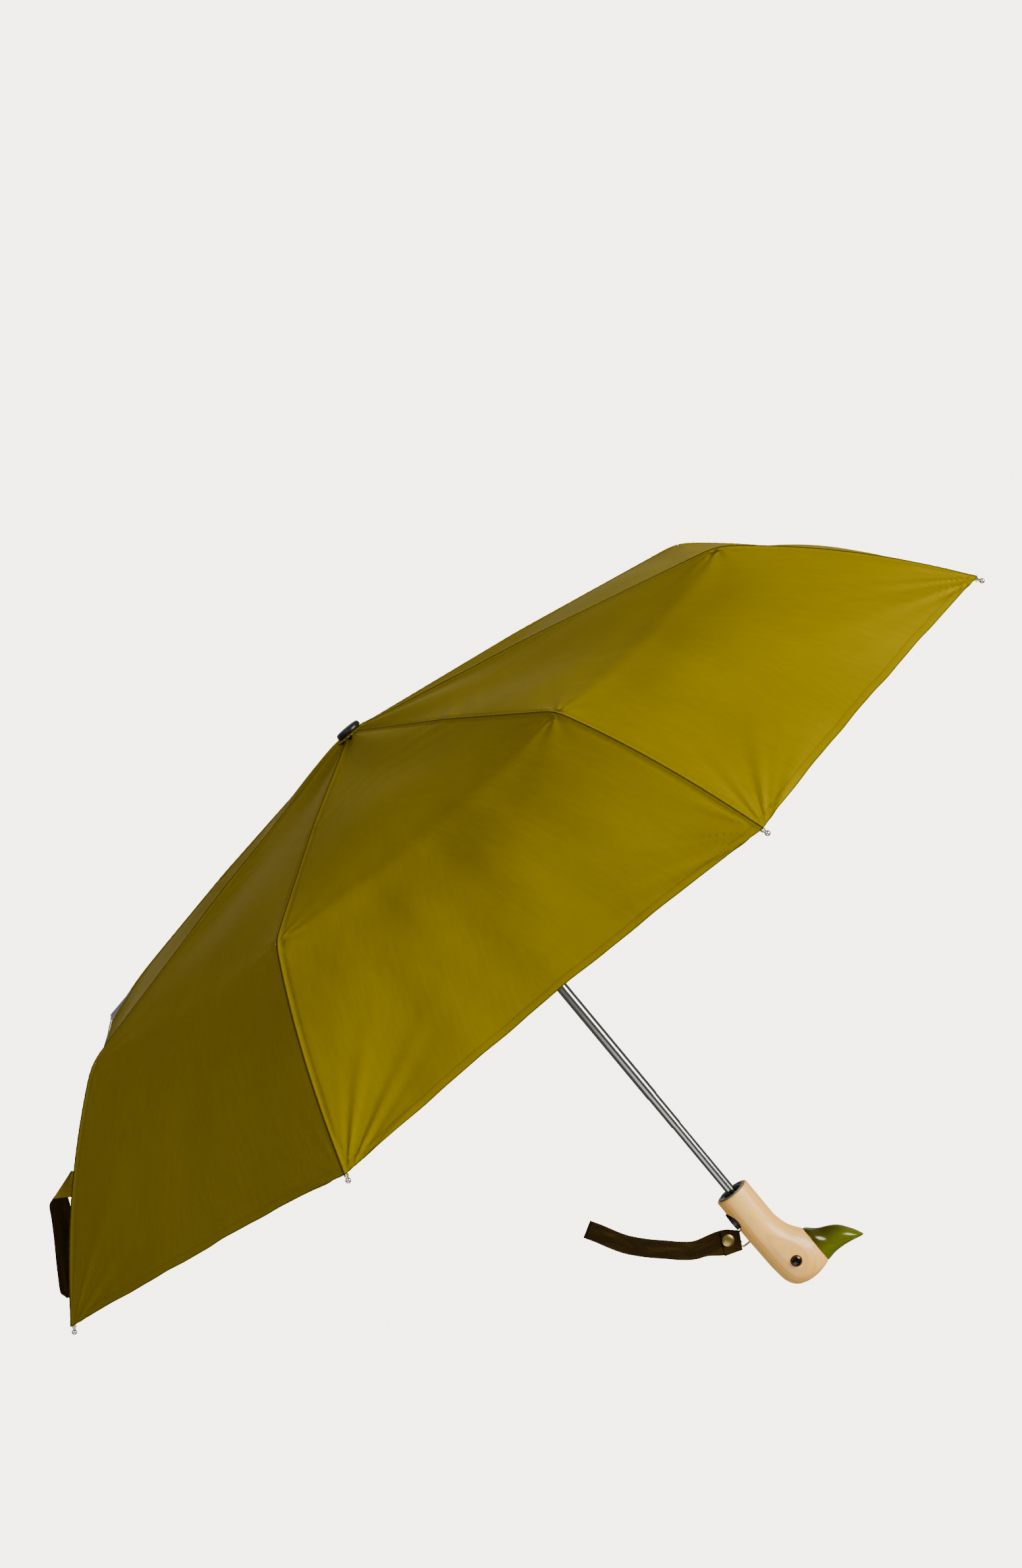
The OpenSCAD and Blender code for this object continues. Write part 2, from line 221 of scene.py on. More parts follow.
class Paint:
    """One material, built node by node, and the Principled shader at its end."""

    def __init__(self, name: str) -> None:
        """Start a material with an empty Principled shader."""
        self.material = bpy.data.materials.new(name)
        self.material.use_nodes = True
        self.tree = self.material.node_tree
        self.shader = next(n for n in self.tree.nodes if n.type == "BSDF_PRINCIPLED")

    def node(self, kind: str, settings: dict[str, object] | None = None,
             inputs: dict[str | int, object] | None = None, output: str | int = 0) -> Signal:
        """Add a node.

        Args:
            kind: The node's type.
            settings: Its settings, set before its sockets.
            inputs: Values or signals for its input sockets, by name or number.
            output: The output socket to return.

        Returns:
            That output.
        """
        made = self.tree.nodes.new(kind)
        for key, value in (settings or {}).items():
            setattr(made, key, value)
        for key, value in (inputs or {}).items():
            self._feed(made.inputs[key], value)
        return Signal(self, made.outputs[output])

    def _feed(self, socket: bpy.types.NodeSocket, value: object) -> None:
        """Link a signal to a socket, or set its constant."""
        if isinstance(value, Signal):
            self.tree.links.new(value.socket, socket)
        elif socket.type == "RGBA":
            socket.default_value = (*value, 1.0)
        else:
            socket.default_value = value

    def place(self, output: str = "Object") -> Signal:
        """Give the point's own coordinates, or its UV."""
        return self.node("ShaderNodeTexCoord", output=output)

    def axis(self, vector: Signal, which: str) -> Signal:
        """Take X, Y or Z out of a vector."""
        return self.node("ShaderNodeSeparateXYZ", None, {0: vector}, which)

    def vector(self, x: Signal | float, y: Signal | float, z: Signal | float) -> Signal:
        """Join three numbers into a vector."""
        return self.node("ShaderNodeCombineXYZ", None, {0: x, 1: y, 2: z})

    def scaled(self, vector: Signal, scale: Sequence[float]) -> Signal:
        """Stretch a vector along X, Y and Z."""
        return self.node("ShaderNodeVectorMath", {"operation": "MULTIPLY"}, {0: vector, 1: tuple(scale)})

    def noise(self, vector: Signal, scale: float, detail: float = 2.0, rough: float = 0.5) -> Signal:
        """Give soft random values round a half."""
        return self.node("ShaderNodeTexNoise", None,
                         {"Vector": vector, "Scale": scale, "Detail": detail, "Roughness": rough})

    def mix(self, share: Signal | float, a: Signal | Colour, b: Signal | Colour) -> Signal:
        """Mix two colours."""
        made = self.tree.nodes.new("ShaderNodeMix")
        made.data_type = "RGBA"
        for key, value in ((0, share), (6, a), (7, b)):
            self._feed(made.inputs[key], value)
        return Signal(self, made.outputs[2])

    def bump(self, height: Signal, depth: float, strength: float = 1.0) -> Signal:
        """Turn a height into a normal, depth in metres."""
        return self.node("ShaderNodeBump", None, {"Strength": strength, "Distance": depth, "Height": height})

    def finish(self, **sockets: object) -> bpy.types.Material:
        """Feed the Principled shader, an underscore in a name being a space, and return the material."""
        for key, value in sockets.items():
            self._feed(self.shader.inputs[key.replace("_", " ")], value)
        return self.material


@dataclass(frozen=True)
class SatinCloth:
    """Tightly woven satin, sewn along the ribs and hemmed; its UV is in metres from seam and hem."""

    name: str = "satin_cloth"
    base: Colour = (0.180, 0.134, 0.0002)
    shade: Colour = (0.157, 0.115, 0.0002)
    seam: Colour = (0.022, 0.016, 0.0004)
    sewn: bool = True
    weave_pitch: float = 0.0007
    stitch_row: float = 0.0062
    stitch_pitch: float = 0.0032

    def make(self) -> bpy.types.Material:
        """Build the cloth, with its weave, slubs, seam line and hem stitches."""
        p = Paint(self.name)
        uv, spot = p.place("UV"), p.place()
        u, v = p.axis(uv, "X"), p.axis(uv, "Y")
        turns = math.tau / self.weave_pitch
        weave = (u * turns).math("SINE") * (v * turns).math("SINE")
        slub = p.noise(p.scaled(uv, (320.0, 40.0, 1.0)), 1.0, 3.0)
        cloud = p.noise(spot, 9.0, 3.0)
        crease = p.noise(spot, 46.0, 4.0, 0.6)
        colour = p.mix((cloud * 0.5 + slub * 0.35).ramp(0.25, 0.62), self.shade, self.base)
        height = weave * 0.10 + slub * 0.12 + crease * 1.1
        if self.sewn:
            side = u.math("ABSOLUTE")
            line = 1 - side.ramp(0.0003, 0.0011)
            row = 1 - (v - self.stitch_row).math("ABSOLUTE").ramp(0.0002, 0.0006)
            stitch = row * (u * (math.tau / self.stitch_pitch)).math("SINE").ramp(-0.2, 0.4)
            edge = 1 - v.ramp(0.0002, 0.0012)
            mark = line.math("MAXIMUM", stitch * 0.14).math("MAXIMUM", edge * 0.8)
            colour = p.mix(mark * 0.85, colour, self.seam)
            height = height - line * 1.2 - stitch * 0.25
        return p.finish(Base_Color=colour, Metallic=0.22, Roughness=slub * 0.14 + 0.40,
                        Specular_IOR_Level=0.02, Specular_Tint=(1.0, 0.80, 0.10), Sheen_Weight=0.03,
                        Sheen_Roughness=0.3, Sheen_Tint=(1.0, 0.85, 0.2),
                        Normal=p.bump(height, 0.0005, 0.45))


@dataclass(frozen=True)
class Maple:
    """Pale maple under clear lacquer, its grain along the grip and curling round the head."""

    name: str = "pale_maple"
    light: Colour = (0.86, 0.47, 0.092)
    mid: Colour = (0.74, 0.375, 0.062)
    dark: Colour = (0.48, 0.20, 0.028)
    heart: float = 0.052
    ring_pitch: float = 0.0036

    def make(self) -> bpy.types.Material:
        """Build rings, fine pores and a soft clear coat."""
        p = Paint(self.name)
        spot = p.place()
        warp = p.noise(p.scaled(spot, (9.0, 14.0, 7.0)), 3.0, 2.0) - 0.5
        x = p.axis(spot, "X") + warp * 0.012
        y = p.axis(spot, "Y") + warp * 0.009
        from_heart = (x * x + (y + self.heart) * (y + self.heart)).math("SQRT")
        rings = (from_heart * (math.tau / self.ring_pitch)).math("SINE")
        fibre = p.noise(p.scaled(spot, (900.0, 900.0, 45.0)), 1.0, 3.0, 0.6)
        cloud = p.noise(p.scaled(spot, (40.0, 40.0, 14.0)), 1.0, 3.0)
        tone = p.mix(cloud.ramp(0.3, 0.72), self.mid, self.light)
        tone = p.mix(rings.ramp(0.1, 1.0) * 0.26, tone, self.dark)
        tone = p.mix(fibre.ramp(0.52, 0.78) * 0.22, tone, self.dark)
        return p.finish(Base_Color=tone, Roughness=fibre * 0.12 + 0.34, Specular_IOR_Level=0.4,
                        Coat_Weight=0.17, Coat_Roughness=0.16,
                        Normal=p.bump(fibre * 0.5 + rings * 0.12, 0.00010, 0.4))


@dataclass(frozen=True)
class Lacquer:
    """Deep gloss lacquer, its upper side darkened by painted shade."""

    name: str
    base: Colour
    painted_shade: Colour
    top: float
    low: float

    def make(self) -> bpy.types.Material:
        """Build the lacquer, its colour going from base at the low height to painted shade at the top one.
        """
        p = Paint(self.name)
        spot = p.place()
        # Painted shade: the colour darkens by height towards the top of the beak.
        height = p.axis(spot, "Z").ramp(self.low, self.top)
        cloud = p.noise(spot, 60.0, 2.0)
        colour = p.mix((height * 0.8 + cloud * 0.2), self.base, self.painted_shade)
        return p.finish(Base_Color=colour, Roughness=cloud * 0.04 + 0.12, Specular_IOR_Level=0.42,
                        Specular_Tint=(0.92, 1.0, 0.62),
                        Normal=p.bump(p.noise(spot, 240.0, 1.0), 0.00008, 0.2))


@dataclass(frozen=True)
class Metal:
    """Bare or plated metal with fine marks, brushed along one axis where stretched."""

    name: str
    base: Colour
    rough: float
    stretch: tuple[float, float, float] = (1.0, 1.0, 1.0)
    stain: float = 0.25
    grain: float = 900.0

    def make(self) -> bpy.types.Material:
        """Build the metal, with slight tarnish and handling marks."""
        p = Paint(self.name)
        spot = p.place()
        lines = p.noise(p.scaled(spot, self.stretch), self.grain, 3.0, 0.6)
        patch = p.noise(spot, 140.0, 3.0)
        dull = tuple(c * 0.45 for c in self.base)
        colour = p.mix(patch.ramp(0.45, 0.8) * self.stain + lines * 0.06, self.base, dull)
        return p.finish(Base_Color=colour, Metallic=1.0,
                        Roughness=lines * 0.05 + patch * 0.05 + (self.rough - 0.05),
                        Normal=p.bump(lines, 0.000001, 0.3))


@dataclass(frozen=True)
class Moulded:
    """Moulded plastic with a faint spark-eroded texture."""

    name: str
    base: Colour
    rough: float = 0.38

    def make(self) -> bpy.types.Material:
        """Build the plastic, with scuffs that lift its roughness."""
        p = Paint(self.name)
        spot = p.place()
        scuff = p.noise(p.scaled(spot, (1.0, 1.0, 0.3)), 420.0, 4.0, 0.65)
        paler = tuple(min(1.0, c * 1.8 + 0.01) for c in self.base)
        colour = p.mix(scuff.ramp(0.5, 0.85) * 0.5, self.base, paler)
        return p.finish(Base_Color=colour, Roughness=scuff * 0.2 + (self.rough - 0.1),
                        Specular_IOR_Level=0.3, Normal=p.bump(p.noise(spot, 1800.0, 2.0), 0.00003, 0.4))


@dataclass(frozen=True)
class SoftLeather:
    """Thin dark suede-backed leather with grain, worn paler in patches; its UV is in metres."""

    name: str = "dark_leather"
    base: Colour = (0.0062, 0.0022, 0.0003)
    worn: Colour = (0.021, 0.0105, 0.0010)
    stitch: Colour = (0.020, 0.012, 0.003)
    width: float = 0.015
    stitch_pitch: float = 0.0026

    def make(self) -> bpy.types.Material:
        """Build the leather, with stitches near both edges."""
        p = Paint(self.name)
        spot, uv = p.place(), p.place("UV")
        across, along = p.axis(uv, "X"), p.axis(uv, "Y")
        pebble = p.node("ShaderNodeTexVoronoi", {"feature": "DISTANCE_TO_EDGE"},
                        {"Vector": spot, "Scale": 1500.0})
        wear = p.noise(p.scaled(uv, (110.0, 26.0, 1.0)), 1.0, 4.0, 0.6)
        edge = across.math("ABSOLUTE")
        row = 1 - (edge - (self.width / 2 - 0.0014)).math("ABSOLUTE").ramp(0.00015, 0.0004)
        stitch = row * (along * (math.tau / self.stitch_pitch)).math("SINE").ramp(-0.3, 0.3)
        colour = p.mix(wear.ramp(0.44, 0.66), self.base, self.worn)
        colour = p.mix(stitch * 0.5, colour, self.stitch)
        height = pebble.ramp(0.0, 0.25) * 0.5 + wear * 0.9 + stitch * 0.8 - row * 0.5
        return p.finish(Base_Color=colour, Roughness=wear * 0.2 + 0.42, Specular_IOR_Level=0.10,
                        Specular_Tint=(1.0, 0.75, 0.30), Sheen_Weight=0.04, Sheen_Tint=(0.40, 0.30, 0.08),
                        Normal=p.bump(height, 0.00018, 0.7))


@dataclass(frozen=True)
class BeadGlass:
    """Polished glass bead: black pupil, brown rim; centred on a point of the XZ plane."""

    name: str
    centre: tuple[float, float]
    pupil: float
    rim: float

    def make(self) -> bpy.types.Material:
        """Build the bead's two rings of colour under a hard gloss."""
        p = Paint(self.name)
        spot = p.place()
        dx = p.axis(spot, "X") - self.centre[0]
        dz = p.axis(spot, "Z") - self.centre[1]
        out = (dx * dx + dz * dz).math("SQRT")
        streak = p.noise(p.vector(dx, dz, 0.0), 900.0, 2.0)
        iris = p.mix(streak, (0.10, 0.030, 0.006), (0.045, 0.012, 0.003))
        colour = p.mix(out.ramp(self.pupil - 0.0004, self.pupil + 0.0002), (0.002, 0.0015, 0.0015), iris)
        colour = p.mix(out.ramp(self.rim - 0.0005, self.rim), colour, (0.012, 0.004, 0.002))
        return p.finish(Base_Color=colour, Roughness=streak * 0.02 + 0.09, Specular_IOR_Level=0.24)


class Finish(Enum):
    """The finishes of this umbrella."""

    CLOTH = SatinCloth()
    BAND_CLOTH = SatinCloth("band_cloth", sewn=False)
    MAPLE = Maple()
    # The beak's darker top colour is painted shade.
    BEAK = Lacquer("green_lacquer", (0.074, 0.086, 0.0012), (0.026, 0.022, 0.0012), -0.050, -0.066)
    CHROME = Metal("dark_chrome", (0.21, 0.215, 0.20), 0.15, (1.0, 1.0, 0.02), 0.1, 300.0)
    STRIP_STEEL = Metal("zinc_strip", (0.42, 0.42, 0.43), 0.30, (0.2, 0.2, 1.0))
    NICKEL = Metal("bright_nickel", (0.74, 0.71, 0.66), 0.16)
    WIRE = Metal("spring_wire", (0.46, 0.46, 0.47), 0.24)
    BRASS = Metal("ring_brass", (0.62, 0.42, 0.17), 0.20)
    OLD_BRASS = Metal("antique_brass", (0.25, 0.18, 0.055), 0.33, stain=0.6)
    BLACK = Moulded("black_plastic", (0.007, 0.007, 0.0075), 0.34)
    GREY = Moulded("grey_plastic", (0.115, 0.118, 0.115), 0.40)
    LEATHER = SoftLeather()
    BEAD = BeadGlass("glass_bead", (0.0049, -0.0531), 0.0039, 0.0049)


class Workshop:
    """Makes each finish once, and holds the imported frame."""

    def __init__(self, frame: dict) -> None:
        """Keep the frame and an empty shelf of materials."""
        self.frame = frame
        self.shelf: dict[Finish, bpy.types.Material] = {}
        self.joints = {j["name"]: j for j in frame["joints"]}

    def material(self, finish: Finish) -> bpy.types.Material:
        """Give a finish's material, building it the first time."""
        if finish not in self.shelf:
            self.shelf[finish] = finish.value.make()
        return self.shelf[finish]

    def dress(self, piece: Node, finish: Finish) -> Node:
        """Give a piece one finish all over."""
        piece.data.materials.clear()
        piece.data.materials.append(self.material(finish))
        return piece

    def hinge(self, name: str) -> tuple[float, float]:
        """Give a rib hinge's distance from the shaft's axis and its height, in millimetres."""
        x, y, z = self.joints[name]["pos_m"]
        return math.hypot(x, y) / MM, z / MM

    def fit(self, piece: Node, finish: Finish, body: str, slot: str, *nodes: str) -> Node:
        """Dress a new piece, ride it on its body and let it stand for CAD nodes.

        Args:
            piece: The finished mesh.
            finish: What it is made of.
            body: The body it moves with.
            slot: The record's material slot; not used.
            nodes: The CAD nodes it stands for.

        Returns:
            The piece.
        """
        self.dress(piece, finish)
        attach(piece, body)
        if nodes:
            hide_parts(*nodes)
        LOG.info("%s: %d faces, rides on %s", piece.name, len(piece.data.polygons), body)
        return piece


# ---------------------------------------------------------------- mesh work


def deselect() -> None:
    """Leave nothing selected and no object active."""
    bpy.ops.object.select_all(action="DESELECT")
    bpy.context.view_layer.objects.active = None


def pick(piece: Node) -> None:
    """Select one object alone and make it active."""
    deselect()
    piece.select_set(True)
    bpy.context.view_layer.objects.active = piece


def settle(piece: Node, name: str) -> Node:
    """Name a piece and put its place into its mesh."""
    pick(piece)
    bpy.ops.object.transform_apply(location=True, rotation=True, scale=True)
    piece.name = piece.data.name = name
    return piece


def modify(piece: Node, kind: str, **settings: object) -> Node:
    """Add a modifier and apply it."""
    pick(piece)
    made = piece.modifiers.new(kind.lower(), kind)
    for key, value in settings.items():
        setattr(made, key, value)
    bpy.ops.object.modifier_apply(modifier=made.name)
    return piece


def soften(piece: Node, degrees: float = 35.0) -> Node:
    """Shade a piece smooth, with edges sharper than an angle kept crisp."""
    pick(piece)
    bpy.ops.object.shade_smooth_by_angle(angle=math.radians(degrees))
    return piece


def clean(piece: Node, gap: float = 1e-6) -> Node:
    """Merge doubled points and turn every face outwards."""
    pick(piece)
    bpy.ops.object.mode_set(mode="EDIT")
    bpy.ops.mesh.select_all(action="SELECT")
    bpy.ops.mesh.remove_doubles(threshold=gap)
    bpy.ops.mesh.dissolve_degenerate(threshold=gap / 4)
    bpy.ops.mesh.normals_make_consistent(inside=False)
    bpy.ops.object.mode_set(mode="OBJECT")
    return piece


def cylinder(name: str, radius: float, depth: float, place: Sequence[float],
             turn: Sequence[float] = (0, 0, 0), sides: int = 48) -> Node:
    """Add a cylinder, in millimetres, its middle at place."""
    deselect()
    bpy.ops.mesh.primitive_cylinder_add(vertices=sides, radius=radius * MM, depth=depth * MM,
                                        location=[c * MM for c in place], rotation=turn)
    return settle(bpy.context.object, name)


def wrap(name: str, around: int, along: int, shape: Callable[[Array, Array], Array]) -> Node:
    """Bend a grid primitive into a closed skin.

    Args:
        name: The piece's name.
        around: Faces round the skin.
        along: Faces from its first end to its last.
        shape: Gives points in millimetres for turns from 0 to 1 and lengths from 0 to 1.

    Returns:
        The skin, its seam and poles merged and its faces outwards.
    """
    deselect()
    bpy.ops.mesh.primitive_grid_add(x_subdivisions=around, y_subdivisions=along, size=1.0)
    piece = bpy.context.object
    flat = np.array([v.co for v in piece.data.vertices], float)
    turn, length = flat[:, 0] + 0.5, flat[:, 1] + 0.5
    points = shape(np.round(turn * around) / around, np.round(length * along) / along) * MM
    piece.data.vertices.foreach_set("co", points.astype(np.float32).ravel())
    piece.data.update()
    return clean(settle(piece, name), 2e-6)


def lathe(name: str, outline: Sequence[tuple[float, float]], sides: int = 64,
          place: Matrix | None = None, bevel: float = 0.0) -> Node:
    """Turn an outline of (radius, height) points, in millimetres, round Z.

    Args:
        name: The piece's name.
        outline: The profile, from pole to pole or closed on itself.
        sides: Steps round the axis.
        place: Where the turned shape goes, in metres.
        bevel: Width that rounds the edges, in millimetres.

    Returns:
        The turned piece.
    """
    points = np.array(outline, float)

    def turned(turn: Array, length: Array) -> Array:
        """Read the outline at each length and turn it."""
        k = row_of(length, len(points))
        angle = turn * math.tau
        return np.stack([points[k, 0] * np.cos(angle), points[k, 0] * np.sin(angle), points[k, 1]], 1)

    piece = wrap(name, sides, len(points) - 1, turned)
    if place is not None:
        piece.data.transform(place)
    if bevel:
        modify(piece, "BEVEL", width=bevel * MM, segments=3, limit_method="ANGLE",
               angle_limit=math.radians(28))
    return soften(piece)


def cut(piece: Node, cutter: Node) -> Node:
    """Take a cutter's shape out of a piece and delete the cutter."""
    modify(piece, "BOOLEAN", operation="DIFFERENCE", solver="EXACT", object=cutter)
    bpy.data.objects.remove(cutter, do_unlink=True)
    return piece


def joined(name: str, parts: Sequence[Node]) -> Node:
    """Join several objects into one."""
    deselect()
    for part in parts:
        part.select_set(True)
    bpy.context.view_layer.objects.active = parts[0]
    bpy.ops.object.join()
    return settle(parts[0], name)


def shell(name: str, top: Array, under: Array, normals: Array, uv: Array) -> Node:
    """Build a closed thin sheet from two grids of points.

    Args:
        name: The piece's name.
        top: Outer points, rows by columns by 3, in metres.
        under: Inner points, laid out alike.
        normals: Outward directions at the points, which smooth the shading across pieces.
        uv: Map coordinates, rows by columns by 2.

    Returns:
        The sheet as a mesh object.
    """
    rows, cols = top.shape[:2]
    count = rows * cols
    n = np.arange(count).reshape(rows, cols)
    a, b, c, d = n[:-1, :-1], n[:-1, 1:], n[1:, 1:], n[1:, :-1]
    over = np.stack([a, b, c, d], -1).reshape(-1, 4)
    edge = np.concatenate([n[0, :], n[1:, -1], n[-1, -2::-1], n[-2:0:-1, 0]])
    ahead = np.roll(edge, -1)
    wall = np.stack([ahead, edge, edge + count, ahead + count], -1)
    faces = np.concatenate([over, over[:, ::-1] + count, wall])
    mesh = bpy.data.meshes.new(name)
    mesh.from_pydata(np.concatenate([top.reshape(-1, 3), under.reshape(-1, 3)]).tolist(), [], faces.tolist())
    layer = mesh.uv_layers.new(name="metres")
    where = np.tile(uv.reshape(-1, 2), (2, 1))
    loops = np.zeros(len(mesh.loops), np.int32)
    mesh.loops.foreach_get("vertex_index", loops)
    layer.data.foreach_set("uv", where[loops].astype(np.float32).ravel())
    mesh.polygons.foreach_set("use_smooth", [True] * len(faces))
    flat = normals.reshape(-1, 3)
    mesh.normals_split_custom_set_from_vertices(np.concatenate([flat, -flat]).tolist())
    piece = bpy.data.objects.new(name, mesh)
    bpy.context.scene.collection.objects.link(piece)
    return piece


# ---------------------------------------------------------------- canopy


class Zone(Enum):
    """The three stretches of a panel, each carried by one rib of the fold."""

    INNER = "inner"
    MIDDLE = "middle"
    OUTER = "outer"


@dataclass
class Canopy:
    """Eight satin gores over the ribs, as half gores that fold with the rib they are sewn to."""

    workshop: Workshop
    lift: float = 2.7
    knee_lift: float = 6.0
    bow: float = 7.5
    hem_dip: float = 3.0
    fillet: float = 22.0
    cloth: float = 0.5
    hem: float = 6.5
    hem_rows: Sequence[float] = (7.4, 6.5, 5.7, 0.6)
    outer_sag: tuple[float, float] = (9.0, 48.0)
    inner_sag: tuple[float, float] = (2.5, 55.0)
    slack_reach: float = 34.0
    sewing_ease: tuple[float, float] = (1.02, 1.03)
    slack: dict[int, float] = field(default_factory=lambda: {4: 4.0})
    columns: int = 34
    rows: dict[Zone, int] = field(default_factory=lambda: {Zone.INNER: 46, Zone.MIDDLE: 46, Zone.OUTER: 66})
    keep: dict[Zone, float] = field(default_factory=lambda: {Zone.INNER: 0.05, Zone.MIDDLE: 0.045,
                                                             Zone.OUTER: 0.072})

    def __post_init__(self) -> None:
        """Work out the line of the cloth over a rib, from the hinges and the washer."""
        knee_one = np.array(self.workshop.hinge("inner_knee_1"))
        knee_two = np.array(self.workshop.hinge("outer_knee_1"))
        low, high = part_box("outer_rib_1")
        tip = np.array([math.hypot(high.x, high.y) / MM - 1.5, low.z / MM + 1.5])
        start = np.array([5.4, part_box("cap_washer")[0].z / MM - 0.15])
        down = (tip - knee_two) / np.linalg.norm(tip - knee_two)
        out = np.array([-down[1], down[0]])
        middle = (knee_two - knee_one) / np.linalg.norm(knee_two - knee_one)
        rise = np.array([-middle[1], middle[0]])
        corner_one = knee_one + self.lift * np.array([0.17, 0.985])
        corner_two = knee_two + self.knee_lift * (rise + out) / np.linalg.norm(rise + out)
        hem = tip - 5.0 * down + 2.2 * out
        self.ends = self._polyline(start, corner_one, corner_two, hem)

    def _polyline(self, start: Array, one: Array, two: Array, hem: Array) -> dict[Zone, tuple[float, float]]:
        """Lay the rounded and bowed line of the cloth, and say where each zone ends on it."""
        outward = np.array([hem[1] - two[1], two[0] - hem[0]])
        outward = -outward / np.linalg.norm(outward)
        t = np.linspace(0, 1, 400)[:, None]
        legs = [start + (one - start) * t, one + (two - one) * t,
                two + (hem - two) * t + outward * self.bow * 4 * t * (1 - t)]
        line = np.concatenate([legs[0], legs[1][1:], legs[2][1:]])
        run = run_of(line)
        marks = run[len(t) - 1], run[2 * len(t) - 2], run[-1]
        even = np.linspace(0, run[-1], 3000)
        line = read_line(line, run, even)
        wide = int(self.fillet / even[1])
        kernel = np.hanning(wide * 2 + 1)
        kernel /= kernel.sum()
        padded = np.concatenate([2 * line[0] - line[wide:0:-1], line, 2 * line[-1] - line[-2:-wide - 2:-1]])
        smooth = np.stack([np.convolve(padded[:, k], kernel, "valid") for k in (0, 1)], 1)
        self.line, self.run, self.length = smooth, even, run[-1]
        return {Zone.INNER: (0.0, marks[0]), Zone.MIDDLE: (marks[0], marks[1]),
                Zone.OUTER: (marks[1], marks[2])}

    def along(self, distance: Array) -> Array:
        """Give (radius, height) on the rib's line of cloth at a distance from the cap."""
        return read_line(self.line, self.run, distance)

    def undulation(self, gore: int, distance: Array, across: Array) -> Array:
        """Give the soft waves of one gore, in millimetres, nil along its two ribs."""
        turn = 1.7 * gore
        arch = 4 * across * (1 - across)
        far = distance / self.length
        broad = (2.3 * np.sin(7.5 * far + 3.1 * across + turn)
                 + 1.6 * np.sin(12.0 * far - 6.0 * across + 2.3 * turn))
        pulled = 0.8 * np.sin(26.0 * across + 9.0 * far + turn) * smooth_step(0.5, 0.8, far)
        fine = 0.30 * np.sin(61.0 * across - 17.0 * far + turn) * smooth_step(0.45, 0.9, far)
        return arch * (broad + pulled + fine)

    def surface(self, rib: int, side: int, distance: Array, tau: Array) -> Array:
        """Give points of the cloth in a rib's own frame: out, sideways and up, in millimetres.

        Args:
            rib: The rib's number.
            side: 1 towards the next rib, -1 towards the one before.
            distance: Distance from the cap along the rib.
            tau: Share of the gore's width from this rib, from 0 to a half.

        Returns:
            The points, with seam ridge, waves, hem and the pull of the tips.
        """
        arch = 4 * tau * (1 - tau)
        outer = self.ends[Zone.OUTER][0]
        pull = smooth_step(outer - 40, self.length, distance)
        reach = distance - self.hem_dip * arch * pull ** 2
        flat = self.along(reach)
        ahead, behind = self.along(reach + 2), self.along(reach - 2)
        slope = unit(ahead - behind)
        out = np.stack([-slope[..., 1], slope[..., 0]], -1)
        radius = flat[..., 0]
        half = radius * math.sin(PITCH) * tau
        gore = rib if side > 0 else (rib - 2) % RIBS + 1
        across = tau if side > 0 else 1 - tau
        (outer_depth, outer_reach), (inner_depth, inner_reach) = self.outer_sag, self.inner_sag
        sag = (-outer_depth * np.exp(-((distance - outer) / outer_reach) ** 2)
               - inner_depth * np.exp(-((distance - self.ends[Zone.INNER][1]) / inner_reach) ** 2))
        push = arch * sag + self.undulation(gore, distance, across)
        push += 0.75 * np.exp(-(half / 1.3) ** 2) - 0.55 * np.exp(-((half - 3.2) / 1.8) ** 2)
        push += 0.09 * np.sin(distance * math.tau / 7.0) * np.exp(-half / 5.0)
        near_knee = np.exp(-((distance - outer) / self.slack_reach) ** 2)
        push -= self.slack.get(rib, 0.0) * near_knee * (1 - 2 * tau)
        push += self.tip_pull(distance, half, radius, side, rib)
        push += 0.2 * smooth_step(self.length - self.hem, self.length - self.hem + 0.8, distance)
        crumple = np.exp(-distance / 26.0) * smooth_step(4, 12, distance)
        push += crumple * 0.4 * arch * np.sin(tau * 40 + rib)
        turn_share = radius * (1 - tau * (1 - math.cos(PITCH)))
        lean = side * 0.5 * PITCH * smooth_step(0.0, 0.12, tau)
        x = turn_share + push * out[..., 0] * np.cos(lean)
        y = side * half + push * out[..., 0] * np.sin(lean)
        return np.stack([x, y, flat[..., 1] + push * out[..., 1]], -1)

    def tip_pull(self, distance: Array, half: Array, radius: Array, side: int, rib: int) -> Array:
        """Give the pleats that fan out from a rib's tip and round its knee, in millimetres."""
        back = self.length - distance + 4
        away = np.hypot(back, half)
        fan = np.arctan2(half, back)
        pleat = np.sin(fan * 15 + 0.8 * rib + side) + 0.5 * np.sin(fan * 27 + 2.1 * rib)
        tip = 0.055 * away * smooth_step(2, 24, away) * pleat * np.exp(-away / 26.0)
        tip += 1.5 * np.sin(fan * 5.5 + 1.9 * rib + side) * smooth_step(12, 60, away) * np.exp(-away / 75.0)
        from_knee = distance - self.ends[Zone.OUTER][0]
        knee = 0.55 * np.sin(np.arctan2(half, from_knee + 1e-3) * 9 + rib) * np.exp(
            -np.hypot(half, from_knee) / 30.0)
        first = distance - self.ends[Zone.INNER][1]
        crease = 0.7 * np.sin(first / 5.5 + half / 6 + rib) * np.exp(-np.hypot(half / 1.6, first) / 17.0)
        return (tip + knee + crease) * smooth_step(0, 5, half)

